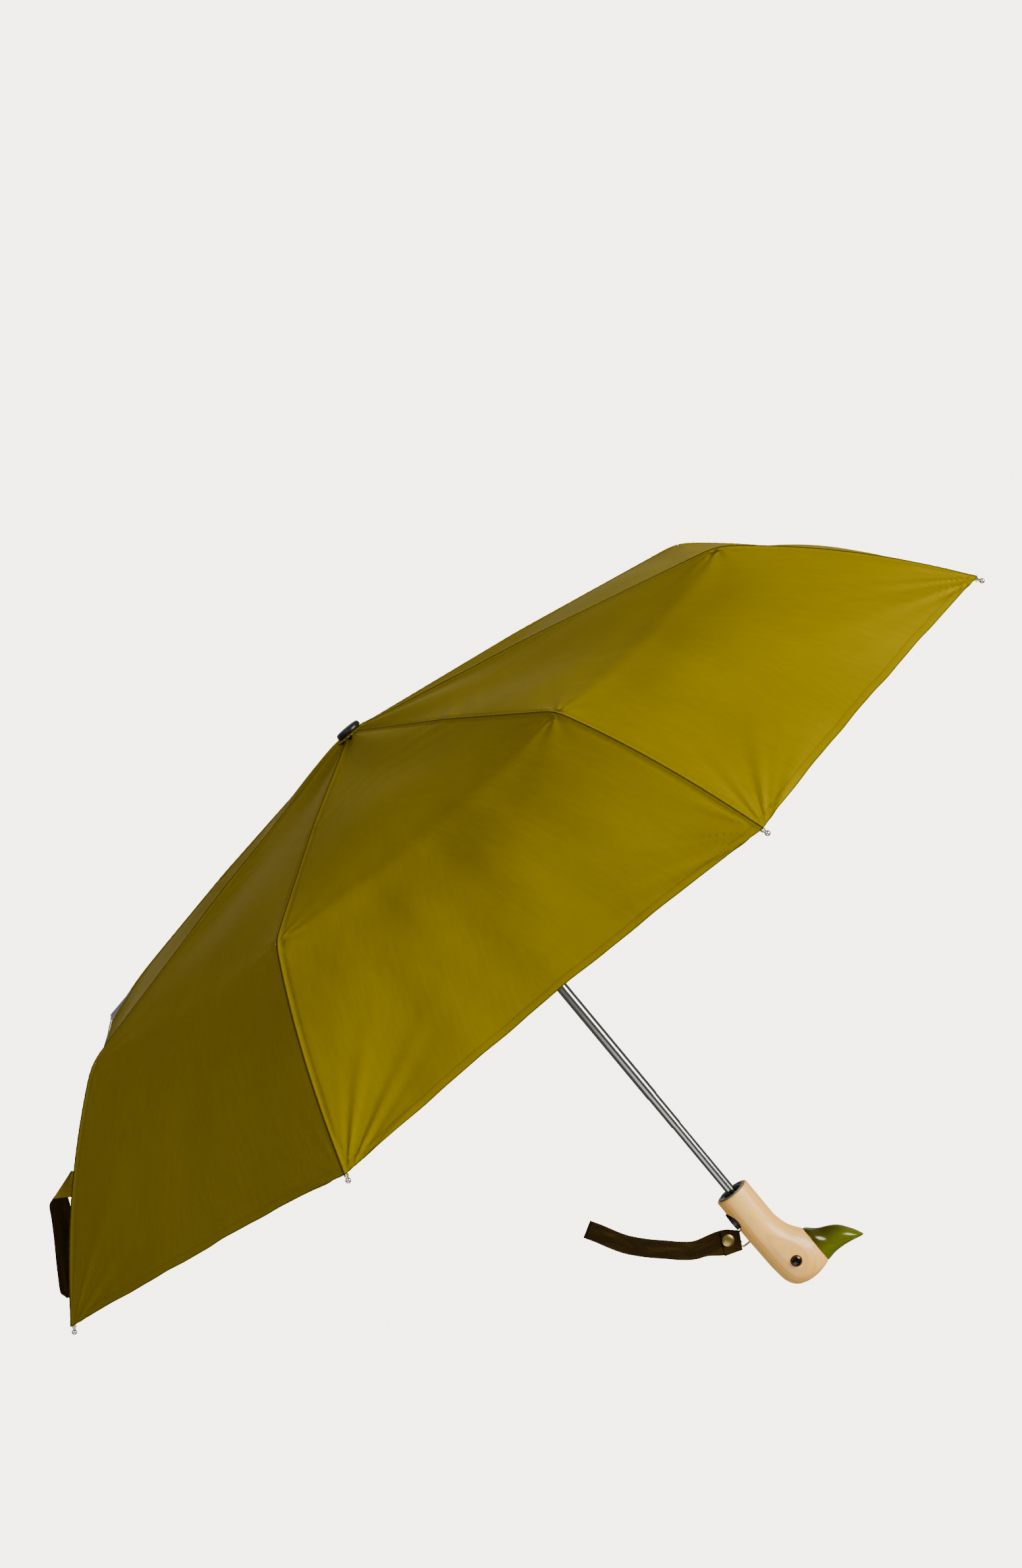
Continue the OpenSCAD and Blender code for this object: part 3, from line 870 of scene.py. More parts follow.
    def half_gore(self, rib: int, side: int, zone: Zone) -> Node:
        """Build one closed half-gore sheet of a zone, in the shared frame."""
        low, high = self.ends[zone]
        rows = np.linspace(0, 1, self.rows[zone] + 1)
        if zone is Zone.OUTER:
            rows = np.unique(np.concatenate([rows, 1 - np.array(self.hem_rows) / (high - low)]))
        distance = low + (high - low) * rows
        t = np.linspace(0, 1, self.columns + 1)
        tau = 0.5 * (0.32 * t + 0.68 * t ** 2.2)
        grid_d, grid_t = np.meshgrid(distance, tau, indexing="ij")
        step_d, step_t = 0.4, 0.0006
        cloth = partial(self.surface, rib, side)
        point = cloth(grid_d, grid_t)
        to_d = cloth(grid_d + step_d, grid_t) - cloth(grid_d - step_d, grid_t)
        to_t = cloth(grid_d, grid_t + step_t) - cloth(grid_d, np.maximum(grid_t - step_t, 0.0))
        normal = np.cross(to_d, to_t) * -side
        normal = unit(normal * np.sign(normal[..., :1] + normal[..., 2:3]))
        seam = grid_t[..., None] < 1e-9
        normal = unit(np.where(seam, normal * [1, 0, 1], normal))
        cos, sin = math.cos(rib_angle(rib)), math.sin(rib_angle(rib))
        turn = np.array([[cos, sin, 0], [-sin, cos, 0], [0, 0, 1]])
        half = grid_t * math.sin(PITCH) * self.along(grid_d)[..., 0]
        uv = np.stack([side * half, self.length - grid_d], -1) * MM
        order = slice(None, None, -1) if side > 0 else slice(None)
        top, normal, uv = (point @ turn)[:, order] * MM, (normal @ turn)[:, order], uv[:, order]
        name = f"canopy_{zone.value}_{rib}_{'left' if side > 0 else 'right'}"
        return shell(name, top, top - normal * self.cloth * MM, normal, uv)

    def fold(self, piece: Node, rib: int, side: int, zone: Zone) -> None:
        """Ride a half gore on its rib, on a mesh of its own."""
        low, high = self.ends[zone]
        first, last = self.along(np.array([low + 4, high - 4]))
        angle = rib_angle(rib)
        out = Vector((math.cos(angle), math.sin(angle), 0))
        sideways = Vector((-math.sin(angle), math.cos(angle), 0)) * side
        run = (out * (last[0] - first[0]) + Vector((0, 0, last[1] - first[1]))).normalized()
        chord = out * (math.cos(PITCH) - 1) + sideways * math.sin(PITCH)
        axis = (chord - run * chord.dot(run)).normalized()
        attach(piece, f"{zone.value}_rib_{rib}")
        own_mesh(piece)

    def build(self) -> None:
        """Make and dress every half gore and ride it on its rib."""
        cad = ["canopy"]
        for rib in RIB_NUMBERS:
            for side in (1, -1):
                for zone in Zone:
                    piece = self.half_gore(rib, side, zone)
                    self.workshop.dress(piece, Finish.CLOTH)
                    self.fold(piece, rib, side, zone)
                    if cad:
                        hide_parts(cad.pop())
                    self.declare(zone)
        LOG.info("canopy: %d half gores", RIBS * 2 * len(Zone))

    def declare(self, zone: Zone) -> None:
        """Work out the length of a zone's cut with its sewing ease; nothing is kept."""
        low, high = self.ends[zone]
        length = (high - low) * MM
        across, along = self.sewing_ease
        length * along


# ---------------------------------------------------------------- handle


@dataclass
class Handle:
    """Grip and bird's head in one piece of maple, with beak, eyes, cup and button."""

    workshop: Workshop
    face: float = 25.5
    levels: Sequence[float] = (-76.4, -76.1, -75.2, -73.1, -71.2, -67.3, -61.7, -53.2, -45.0, -39.9, -34.7,
                               -29.1, -22.3, -15.0)
    back: Sequence[float] = (9.0, 2.9, -1.0, -6.0, -8.2, -10.9, -12.8, -13.8, -14.4, -14.5, -14.6, -14.7,
                             -14.9, -15.0)
    front: Sequence[float] = (10.5, 15.5, 19.5, 26.0, 28.4, 30.4, 31.6, 31.3, 28.4, 25.6, 21.9, 18.6,
                              16.4, 15.0)
    broad: Sequence[float] = (0.2, 4.4, 7.6, 10.6, 12.2, 14.2, 15.5, 16.0, 16.0, 15.8, 15.4, 15.1,
                              15.0, 15.0)

    def section(self, height: Array) -> tuple[Array, Array, Array]:
        """Give a level section's middle, half length and half width."""
        back = curve_through(self.levels, self.back, height)
        front = curve_through(self.levels, self.front, height)
        return (back + front) / 2, (front - back) / 2, curve_through(self.levels, self.broad, height)

    def face_width(self, height: Array) -> Array:
        """Give the half width of the flat face that the beak is glued to."""
        middle, half, broad = self.section(height)
        share = np.clip((self.face - middle) / half, -1, 1)
        return broad * np.sqrt(1 - share ** 2)

    def wood(self) -> Node:
        """Model the maple: a lofted skin, cut for the cup, the button and the ring."""
        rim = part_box("handle")[1].z / MM
        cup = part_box("tip_cup")[0].z / MM
        top = [(cup, 0.0), (cup, 12.5), (rim - 0.8, 12.5), (rim - 0.2, 12.8), (rim, 13.5),
               (rim - 0.15, 14.3), (rim - 0.7, 14.85), (rim - 1.6, 15.0)]
        level = np.concatenate([[z for z, _ in top], np.linspace(rim - 4, -15, 12),
                                np.linspace(-17, -70, 48), -70 - 6.4 * round_end(16)])
        round_r = np.concatenate([[r for _, r in top], np.full(12, 15.0)])

        def skin(turn: Array, length: Array) -> Array:
            """Read the grip's turned part or the head's lofted part."""
            k = row_of(length, len(level))
            z, angle = level[k], turn * math.tau
            middle, half, broad = self.section(z)
            turned = k < len(round_r)
            radius = round_r[np.minimum(k, len(round_r) - 1)]
            middle = np.where(turned, 0.0, middle)
            half, broad = np.where(turned, radius, half), np.where(turned, radius, broad)
            last = k == len(level) - 1
            x = middle + half * np.cos(angle) * ~last
            return np.stack([np.minimum(x, self.face), broad * np.sin(angle) * ~last, z], 1)

        piece = wrap("handle_maple", 96, len(level) - 1, skin)
        side = (math.pi / 2, 0, 0)
        cut(piece, cylinder("scoop", 15.2, 60, (-26.6, 0, 1), side, 160))
        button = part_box("release_button")
        middle = centre_of("release_button")
        radius = (button[1].z - button[0].z) / 2 / MM + 0.2
        cut(piece, cylinder("bore", radius, 8, (-12.5, 0, middle.z), (0, math.pi / 2, 0), 64))
        for z in (-20, -8):
            cut(piece, cylinder("ring_hole", 1.25, 6, (-15, 0, z), (0, math.pi / 2, 0), 24))
        eye = centre_of("eyes")
        for end in (1, -1):
            cut(piece, cylinder("eye_socket", 5.0, 3, (eye.x, end * 16.2, eye.z), side, 48))
        return soften(piece, 30)

    def beak(self) -> Node:
        """Model the bill: a dished upper side, a mouth line and a pinched tip."""
        stations = (25.5, 28.0, 32.0, 37.0, 42.0, 47.0, 51.0, 55.0, 58.5, 61.2)
        tops = (-40.0, -42.0, -45.3, -48.4, -50.9, -53.9, -57.5, -63.1, -68.9, -75.0)
        lows = (-73.0, -72.6, -72.1, -71.9, -72.1, -72.7, -73.4, -74.3, -75.2, -76.0)
        mouths = (-59.0, -60.2, -61.8, -63.6, -65.2, -67.0, -69.0, -71.4, -73.6, -75.5)
        widths = (11.0, 10.9, 10.6, 10.2, 9.9, 9.6, 9.1, 8.0, 6.0, 1.6)
        along = np.concatenate([[0], np.linspace(0, 0.9, 40), 0.9 + 0.1 * round_end(14), [1.0]])

        def skin(turn: Array, length: Array) -> Array:
            """Read the bill's section at each place along it."""
            k = row_of(length, len(along))
            x = stations[0] + (stations[-1] - stations[0]) * along[k]
            top, low = curve_through(stations, tops, x), curve_through(stations, lows, x)
            mouth, wide = curve_through(stations, mouths, x), curve_through(stations, widths, x)
            angle = turn * math.tau
            rise = np.sin(angle)
            z = np.where(rise > 0, mouth + (top - mouth) * rise, mouth + (mouth - low) * rise)
            root = 1 - smooth_step(25.5, 36.0, x)
            side = np.sign(np.cos(angle)) * np.abs(np.cos(angle)) ** np.where(rise > 0, 1.12, 0.85)
            y_root = np.sign(np.cos(angle)) * self.face_width(np.clip(z, -73.0, -40.0))
            crease = 0.9 * np.exp(-(rise / 0.10) ** 2) * (1 - root) * np.sign(np.cos(angle))
            y = (wide * side - crease) * (1 - root) + y_root * root
            closed = (k == 0) | (k == len(along) - 1)
            z = np.where(closed, mouth, z)
            return np.stack([x, np.where(closed, 0.0, y), z], 1)

        return soften(wrap("beak_lacquered", 72, len(along) - 1, skin), 50)

    def eyes(self) -> Node:
        """Model two glass beads, each a dome in a thin rim."""
        dome = [(0, -2.0), (4.3, -2.0), (4.85, -1.6), (4.9, 0.1), (4.7, 0.55), (4.2, 1.0), (3.4, 1.5),
                (2.4, 1.9), (1.2, 2.15), (0, 2.2)]
        parts = []
        eye = centre_of("eyes")
        for end in (1, -1):
            turn = Matrix.Translation(Vector((eye.x, end * 15.7, eye.z)) * MM) @ Matrix.Rotation(
                -end * math.pi / 2, 4, "X")
            parts.append(modify(lathe(f"eye_{end}", dome, 48, turn), "SUBSURF", levels=1, render_levels=1))
        return soften(joined("eyes_glass", parts), 60)

    def cup(self) -> Node:
        """Model the cup that the rib tips rest in: a flat ring with notches round a dark well."""
        low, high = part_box("tip_cup")
        z0, z1 = low.z / MM, high.z / MM
        outline = [(4.3, z0 + 0.1), (12.4, z0 + 0.1), (12.4, z1 - 0.2), (12.1, z1), (10.9, z1),
                   (10.7, z1 - 0.7), (8.6, z1 - 0.7), (8.3, z1 - 1.0), (8.0, z1 - 6), (4.3, z1 - 6),
                   (4.3, z0 + 0.1)]
        piece = lathe("tip_cup_ring", outline, 72, bevel=0.12)
        for rib in RIB_NUMBERS:
            angle = rib_angle(rib)
            place = (9.6 * math.cos(angle), 9.6 * math.sin(angle), z1 - 0.6)
            cut(piece, cylinder("seat", 1.0, 2.4, place, sides=20))
        return soften(piece, 30)

    def button(self) -> Node:
        """Model the release button: a domed disc with three finger ridges."""
        low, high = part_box("release_button")
        radius, mid = (high.z - low.z) / 2 / MM, (high.z + low.z) / 2 / MM
        face = (high.x - low.x) / MM
        turn = Matrix.Translation(Vector((high.x / MM, 0, mid)) * MM) @ Matrix.Rotation(-math.pi / 2, 4, "Y")
        outline = [(0, 0.1), (radius - 0.2, 0.1), (radius, 0.4), (radius, face - 1.6),
                   (radius - 0.3, face - 0.9), (radius - 1.0, face - 0.5), (radius - 1.6, face - 0.75),
                   (radius - 3, face - 0.35), (0, face - 0.1)]
        piece = lathe("release_button_black", outline, 64, turn)
        for dz in (-3.0, -1.0, 1.0, 3.0):
            cut(piece, cylinder("ridge", 0.3, 9.0, (low.x / MM + 0.1, 0, mid + dz), (math.pi / 2, 0, 0), 16))
        return soften(piece, 40)

    def build(self) -> None:
        """Make the handle's pieces and fit them."""
        shop = self.workshop
        shop.fit(self.wood(), Finish.MAPLE, "handle", "wood", "handle")
        shop.fit(self.beak(), Finish.BEAK, "handle", "beak_gloss", "beak")
        shop.fit(self.eyes(), Finish.BEAD, "handle", "eye_glass", "eyes")
        shop.fit(self.cup(), Finish.GREY, "handle", "grey_plastic", "tip_cup")
        shop.fit(self.button(), Finish.BLACK, "release_button", "black_plastic", "release_button")


# ---------------------------------------------------------------- straps


def ribbon(name: str, line: Array, normal: Array, width: Array, thick: float, columns: int = 10,
           crown: float = 0.0) -> Node:
    """Build a flat band along a line.

    Args:
        name: The piece's name.
        line: Points along its middle, in millimetres.
        normal: The direction its face looks in, at each point.
        width: Its width at each point.
        thick: Its thickness.
        columns: Faces across it.
        crown: How far its middle stands proud of its edges.

    Returns:
        The band, its UV in metres across and along.
    """
    along = unit(np.gradient(line, axis=0))
    normal = unit(normal - along * np.sum(normal * along, axis=1, keepdims=True))
    side = np.cross(along, normal)
    share = np.linspace(-0.5, 0.5, columns + 1)
    offset = share[None, :, None] * width[:, None, None] * side[:, None, :]
    bulge = crown * (1 - (2 * share[None, :, None]) ** 2) * normal[:, None, :]
    middle = line[:, None, :] + offset + bulge
    run = run_of(line)
    uv = np.stack(np.broadcast_arrays(share[None, :] * width[:, None], run[:, None]), -1)
    outward = np.repeat(normal[:, None, :], columns + 1, axis=1)
    top, under = (middle + outward * thick / 2) * MM, (middle - outward * thick / 2) * MM
    return clean(shell(name, top, under, outward, uv * MM), 1e-7)


def spline(points: Sequence[Sequence[float]], count: int) -> Array:
    """Run a smooth Catmull-Rom curve through points and give evenly spaced ones."""
    p = np.array(points, float)
    p = np.concatenate([[2 * p[0] - p[1]], p, [2 * p[-1] - p[-2]]])
    t = np.linspace(0, 1, 24, endpoint=False)[:, None]
    parts = []
    for a, b, c, d in zip(p, p[1:], p[2:], p[3:]):
        parts.append(0.5 * (2 * b + (c - a) * t + (2 * a - 5 * b + 4 * c - d) * t ** 2
                            + (3 * b - a - 3 * c + d) * t ** 3))
    dense = np.concatenate([*parts, p[-2:-1]])
    run = run_of(dense)
    return read_line(dense, run, np.linspace(0, run[-1], count))


@dataclass
class Straps:
    """The wrist strap on its ring and the band that holds the umbrella closed."""

    workshop: Workshop
    route: Sequence[tuple[float, float]] = (
        (-20.4, -13.2), (-27, -9.4), (-42, -1.2), (-54, 4), (-63, 11), (-72, 20), (-83, 31), (-93, 43),
        (-99, 53), (-105, 65), (-109.5, 73))
    width: float = 15.0
    tab: float = 20.5
    ring_radius: float = 0.88

    def strap_layer(self, name: str, y: float, twist: float) -> Node:
        """Model one layer of the doubled strap, y off the middle plane and slightly turned."""
        flat = spline(self.route, 90)
        share = np.linspace(0, 1, len(flat))
        wave = 0.5 * np.sin(share * 9 + y)
        line = np.stack([flat[:, 0], y * (1 - 0.25 * share) + wave * 0.3, flat[:, 1]], 1)
        lean = twist * np.sin(share * math.pi) * 0.35
        normal = np.stack([np.zeros_like(lean), -np.cos(lean), np.sin(lean)], 1)
        width = self.width + (self.tab - self.width) * (1 - smooth_step(0.10, 0.26, share))
        width -= 4.5 * (1 - smooth_step(0.0, 0.08, share))
        return ribbon(name, line, normal, width, 1.3, 12, 0.25)

    def strap(self) -> Node:
        """Model the doubled strap with its end fold, the tab and its stitched patch."""
        front = self.strap_layer("front", -0.95, 0.5)
        rear = self.strap_layer("rear", 0.95, -0.4)
        end = np.array(self.route[-1])
        way = end - np.array(self.route[-2])
        way /= np.linalg.norm(way)
        angle = np.linspace(-math.pi / 2, math.pi / 2, 14)
        centre = end + way * 0.2
        fold = np.stack([centre[0] + way[0] * np.cos(angle), 0.72 * np.sin(angle),
                         centre[1] + way[1] * np.cos(angle)], 1)
        face = np.stack([way[0] * np.cos(angle), np.sin(angle), way[1] * np.cos(angle)], 1)
        nose = ribbon("fold", fold, face, np.full(14, self.width), 1.1, 12)
        flat = spline([(-19.4, -13.9), (-25, -10.7), (-33.0, -6.4)], 16)
        line = np.stack([flat[:, 0], np.full(16, -2.15), flat[:, 1]], 1)
        patch = ribbon("patch", line, np.tile([0.0, -1.0, 0.0], (16, 1)),
                       np.linspace(self.tab - 4, self.tab + 0.6, 16), 1.0, 12, 0.15)
        angle = np.linspace(math.pi / 2, 3 * math.pi / 2, 16)
        hook = np.stack([-21.8 - 2.1 * np.cos(angle) * 0.9, 2.2 * np.sin(angle), np.full(16, -11.4)], 1)
        hook_face = np.stack([-np.cos(angle), np.sin(angle), np.zeros(16)], 1)
        loop = ribbon("loop", hook, hook_face, np.full(16, 9.0), 0.9, 8)
        parts = [front, rear, nose, patch, loop]
        for part in parts:
            modify(part, "BEVEL", width=0.22 * MM, segments=2, limit_method="ANGLE",
                   angle_limit=math.radians(50))
        return soften(joined("wrist_strap_leather", parts), 60)

    def snap(self) -> Node:
        """Model the press stud: a domed head in a rolled rim, and its socket behind."""
        middle = centre_of("strap_snap")
        head = [(0, 1.7), (2.6, 1.6), (4.2, 1.25), (4.7, 0.95), (5.0, 1.05), (5.2, 0.75), (5.2, 0.2),
                (4.9, 0), (0, 0)]
        back = [(0, 0), (4.3, 0), (4.5, 0.5), (4.2, 1.0), (3.0, 1.1), (2.4, 0.6), (0, 0.6)]
        front = lathe("head", head[::-1], 56, Matrix.Translation(Vector((middle.x, -2.5, middle.z)) * MM)
                      @ Matrix.Rotation(math.pi / 2, 4, "X"))
        rear = lathe("socket", back, 48, Matrix.Translation(Vector((middle.x, 1.7, middle.z)) * MM)
                     @ Matrix.Rotation(-math.pi / 2, 4, "X"))
        return soften(joined("strap_snap_brass", [front, rear]), 40)

    def ring(self) -> Node:
        """Model the wire ring: bent wire with both ends in the grip."""
        places = [(-12.6, -20), (-18.5, -20.1), (-21.2, -19.6), (-22.3, -17.6), (-22.4, -14), (-22.3, -10.4),
                  (-21.2, -8.4), (-18.5, -7.9), (-12.6, -8)]
        centre = spline(places, 70)
        tangent = unit(np.gradient(centre, axis=0))

        def skin(turn: Array, length: Array) -> Array:
            """Sweep the wire's round section along the bend."""
            k = row_of(length, len(centre))
            angle = turn * math.tau
            radius = self.ring_radius * ~((k == 0) | (k == len(centre) - 1))
            across = radius * np.cos(angle)
            x = centre[k, 0] + across * tangent[k, 1]
            z = centre[k, 1] - across * tangent[k, 0]
            return np.stack([x, radius * np.sin(angle), z], 1)

        return soften(wrap("strap_ring_wire", 20, 69, skin), 60)

    def flap(self, y: float) -> Node:
        """Model the band's flap: hemmed cloth that slants out from the canopy and folds back at its foot."""
        corners = np.array([(-371.5, 394.9), (-385.2, 380.1), (-398.0, 389.2), (-373.4, 396.6)])
        down, across = np.meshgrid(np.linspace(0, 1, 30), np.linspace(0, 1, 18), indexing="ij")
        share = (1 - down) * (1 - across), down * (1 - across), down * across, (1 - down) * across
        flat = sum(w[..., None] * c for w, c in zip(share, corners))
        depth = y - 1.1 * np.sin(down * math.pi) * (0.5 + 0.5 * across) - 0.4 * np.cos(across * 5 + down * 2)
        depth += 0.5 * smooth_step(0.95, 1.0, down) - 0.3 * np.exp(-((down - 0.88) / 0.02) ** 2)
        points = np.stack([flat[..., 0], depth, flat[..., 1]], -1)
        uv = np.stack([across * 15, down * 22], -1) * MM
        return self.leaf("closing_band_flap", points, 0.6, uv)

    def hanging(self, y: float) -> Node:
        """Model the band's hanging end, rounded at the foot; its dark inner side is painted shade."""
        left = spline([(-397.9, 389.2), (-403.6, 386.8), (-408.6, 378.8), (-413.6, 370.8), (-420.2, 360.8),
                       (-427, 351), (-434.6, 339.6), (-439.3, 332.4), (-440.9, 328.8), (-440.5, 326.6),
                       (-439.4, 324.8)], 60)
        right = spline([(-388.4, 382.6), (-392.4, 374.9), (-403, 363.0), (-412.1, 352.2), (-423.2, 338.7),
                        (-430.0, 329.6), (-436.6, 321.0), (-437.6, 321.4)], 60)
        run, share = np.meshgrid(np.linspace(0, 1, 60), np.linspace(0, 1, 15), indexing="ij")
        flat = right[:, None, :] * (1 - share[..., None]) + left[:, None, :] * share[..., None]
        hollow = 1.3 * 4 * share * (1 - share) * (0.6 + 0.4 * np.sin(run * 9))
        depth = y + 0.8 * np.sin(run * 6.5 + share) - hollow
        points = np.stack([flat[..., 0], depth, flat[..., 1]], -1)
        uv = np.stack([(share - 0.5) * 17, run * 84], -1) * MM
        # Painted shade: this dark sheet stands where the band's cloth is only in shadow.
        return self.leaf("closing_band_painted_shade", points, 0.8, uv)

    @staticmethod
    def leaf(name: str, points: Array, thick: float, uv: Array) -> Node:
        """Give a grid of points that looks towards -Y a thickness, behind it."""
        normal = np.cross(np.gradient(points, axis=0), np.gradient(points, axis=1))
        normal = unit(normal * -np.sign(normal[..., 1:2]))
        sheet = shell(name, points * MM, (points - normal * thick) * MM, normal, uv)
        return soften(clean(sheet, 1e-7), 60)

    def closing_band(self) -> list[Node]:
        """Model the closing band at the place of its solid."""
        low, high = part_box("closing_band")
        y = (low.y + high.y) / 2 / MM
        return [self.flap(y - 1.0), self.hanging(y + 0.4)]

    def build(self) -> None:
        """Make the straps and fit them."""
        shop = self.workshop
        shop.fit(self.strap(), Finish.LEATHER, "wrist_strap", "strap_leather", "wrist_strap")
        shop.fit(self.snap(), Finish.OLD_BRASS, "wrist_strap", "snap_brass", "strap_snap")
        shop.fit(self.ring(), Finish.BRASS, "wrist_strap", "ring_brass", "strap_ring")
        flap, hanging = self.closing_band()
        shop.fit(flap, Finish.BAND_CLOTH, "outer_rib_5", "canopy_cloth", "closing_band")
        # The hanging end wears the dark leather as painted shade; the band itself is canopy cloth.
        shop.fit(hanging, Finish.LEATHER, "outer_rib_5", "strap_leather")


# ---------------------------------------------------------------- crown and frame metal


@dataclass
class Crown:
    """The cap on top and the pinked washer under it."""

    workshop: Workshop
    teeth: int = 24

    def cap(self) -> Node:
        """Model the cap: a low turned dome with a rounded rim and a hollow underside."""
        low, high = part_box("cap")
        top = high.z / MM
        radius = (high.x - low.x) / 2 / MM
        outline = [(0, top), (4, top - 0.05), (radius - 2.6, top - 0.3), (radius - 1.2, top - 0.7),
                   (radius - 0.3, top - 1.4), (radius, top - 2.4), (radius, top - 4.3),
                   (radius - 0.3, top - 4.8), (radius - 1.2, top - 4.9), (0, top - 4.9)]
        return modify(lathe("cap_black", outline, 72), "SUBSURF", levels=1, render_levels=1)

    def washer(self) -> Node:
        """Model the cloth washer: a shallow cone with a zigzag edge."""
        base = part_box("cap_washer")[0].z / MM
        steps = self.teeth * 2

        def skin(turn: Array, length: Array) -> Array:
            """Lay the washer's top, edge and underside."""
            tooth = np.round(turn * steps).astype(int) % 2
            rim = np.where(tooth == 0, 15.0, 13.4)
            edge = (length > 0.4) & (length < 0.6)
            radius = np.where(edge, rim, np.interp(length, [0, 0.4, 0.6, 1], [5.5, 12.6, 12.6, 5.5]))
            height = base + 0.95 - 0.14 * (radius - 5.5) - np.where(length > 0.5, 0.9, 0.0)
            height = height + np.where(edge, 0.35 * (tooth == 0) - 0.25, 0.0)
            angle = turn * math.tau
            height = height + 0.15 * np.sin(3 * angle)
            return np.stack([radius * np.cos(angle), radius * np.sin(angle), height], 1)

        return soften(self.closed(wrap("cap_washer_cloth", steps, 11, skin)), 40)

    @staticmethod
    def closed(piece: Node) -> Node:
        """Bridge the washer's two inner edges, so that it is one closed solid."""
        pick(piece)
        bpy.ops.object.mode_set(mode="EDIT")
        bpy.ops.mesh.select_all(action="DESELECT")
        bpy.ops.mesh.select_non_manifold()
        bpy.ops.mesh.bridge_edge_loops()
        bpy.ops.mesh.select_all(action="SELECT")
        bpy.ops.mesh.normals_make_consistent(inside=False)
        bpy.ops.object.mode_set(mode="OBJECT")
        return piece

    def build(self) -> None:
        """Make the crown's pieces and fit them."""
        shop = self.workshop
        shop.fit(self.cap(), Finish.BLACK, "shaft_tube_top", "black_plastic", "cap")
        shop.fit(self.washer(), Finish.BAND_CLOTH, "shaft_tube_top", "canopy_cloth", "cap_washer")


@dataclass
class Springs:
    """The drive spring in the shaft and the button's spring, as coils."""

    workshop: Workshop
    wire: float = 0.45
    steps: int = 14

    def coil(self, node: str, axial: int, turns: int) -> Node:
        """Model one spring in the box of its CAD node, wound round the given axis."""
        low, high = (np.array(corner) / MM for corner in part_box(node))
        one, two = (k for k in range(3) if k != axial)
        middle, radius = (low + high) / 2, (high[one] - low[one]) / 2 - self.wire
        count = turns * self.steps

        def skin(turn: Array, length: Array) -> Array:
            """Sweep the wire's round section along the coil."""
            k = row_of(length, count + 1)
            wire, angle = self.wire * ~((k == 0) | (k == count)), k * math.tau / self.steps
            reach = radius + wire * np.cos(turn * math.tau)
            place = np.zeros((len(k), 3))
            place[:, one] = middle[one] + reach * np.cos(angle)
            place[:, two] = middle[two] + reach * np.sin(angle)
            rise = (high[axial] - low[axial] - 2 * self.wire) * k / count
            place[:, axial] = low[axial] + self.wire + rise + wire * np.sin(turn * math.tau)
            return place

        return soften(wrap(f"{node}_coil", 6, count, skin), 60)

    def build(self) -> None:
        """Make both springs, the shaft's and the button's, and fit them to the handle."""
        shop = self.workshop
        low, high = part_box("drive_spring")
        travel = sum(abs(shop.joints[name]["range_m"][0]) for name in
                     ("shaft_extend", "shaft_extend_third", "shaft_extend_second"))
        steel = Finish.WIRE, "handle", "spring_steel"
        drive = shop.fit(self.coil("drive_spring", 2, 110), *steel, "drive_spring")
        1 - travel / (high.z - low.z)
        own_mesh(drive)
        low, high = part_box("button_spring")
        button = shop.fit(self.coil("button_spring", 0, 4), *steel, "button_spring")
        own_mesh(button)


def dress_frame(shop: Workshop) -> None:
    """Give every CAD node that stays its metal or plastic."""
    finishes = {"shaft_tube": Finish.CHROME, "inner_rib": Finish.STRIP_STEEL,
                "middle_rib": Finish.STRIP_STEEL, "stretcher": Finish.STRIP_STEEL,
                "outer_rib": Finish.NICKEL, "notch_wire": Finish.WIRE, "runner_wire": Finish.WIRE,
                "notch": Finish.BLACK, "runner": Finish.BLACK}
    for name, node in shop.frame["nodes"].items():
        found = next((f for start, f in finishes.items() if name.startswith(start)), None)
        if found and not node.hide_render:
            shop.dress(node, found)


# ---------------------------------------------------------------- studio


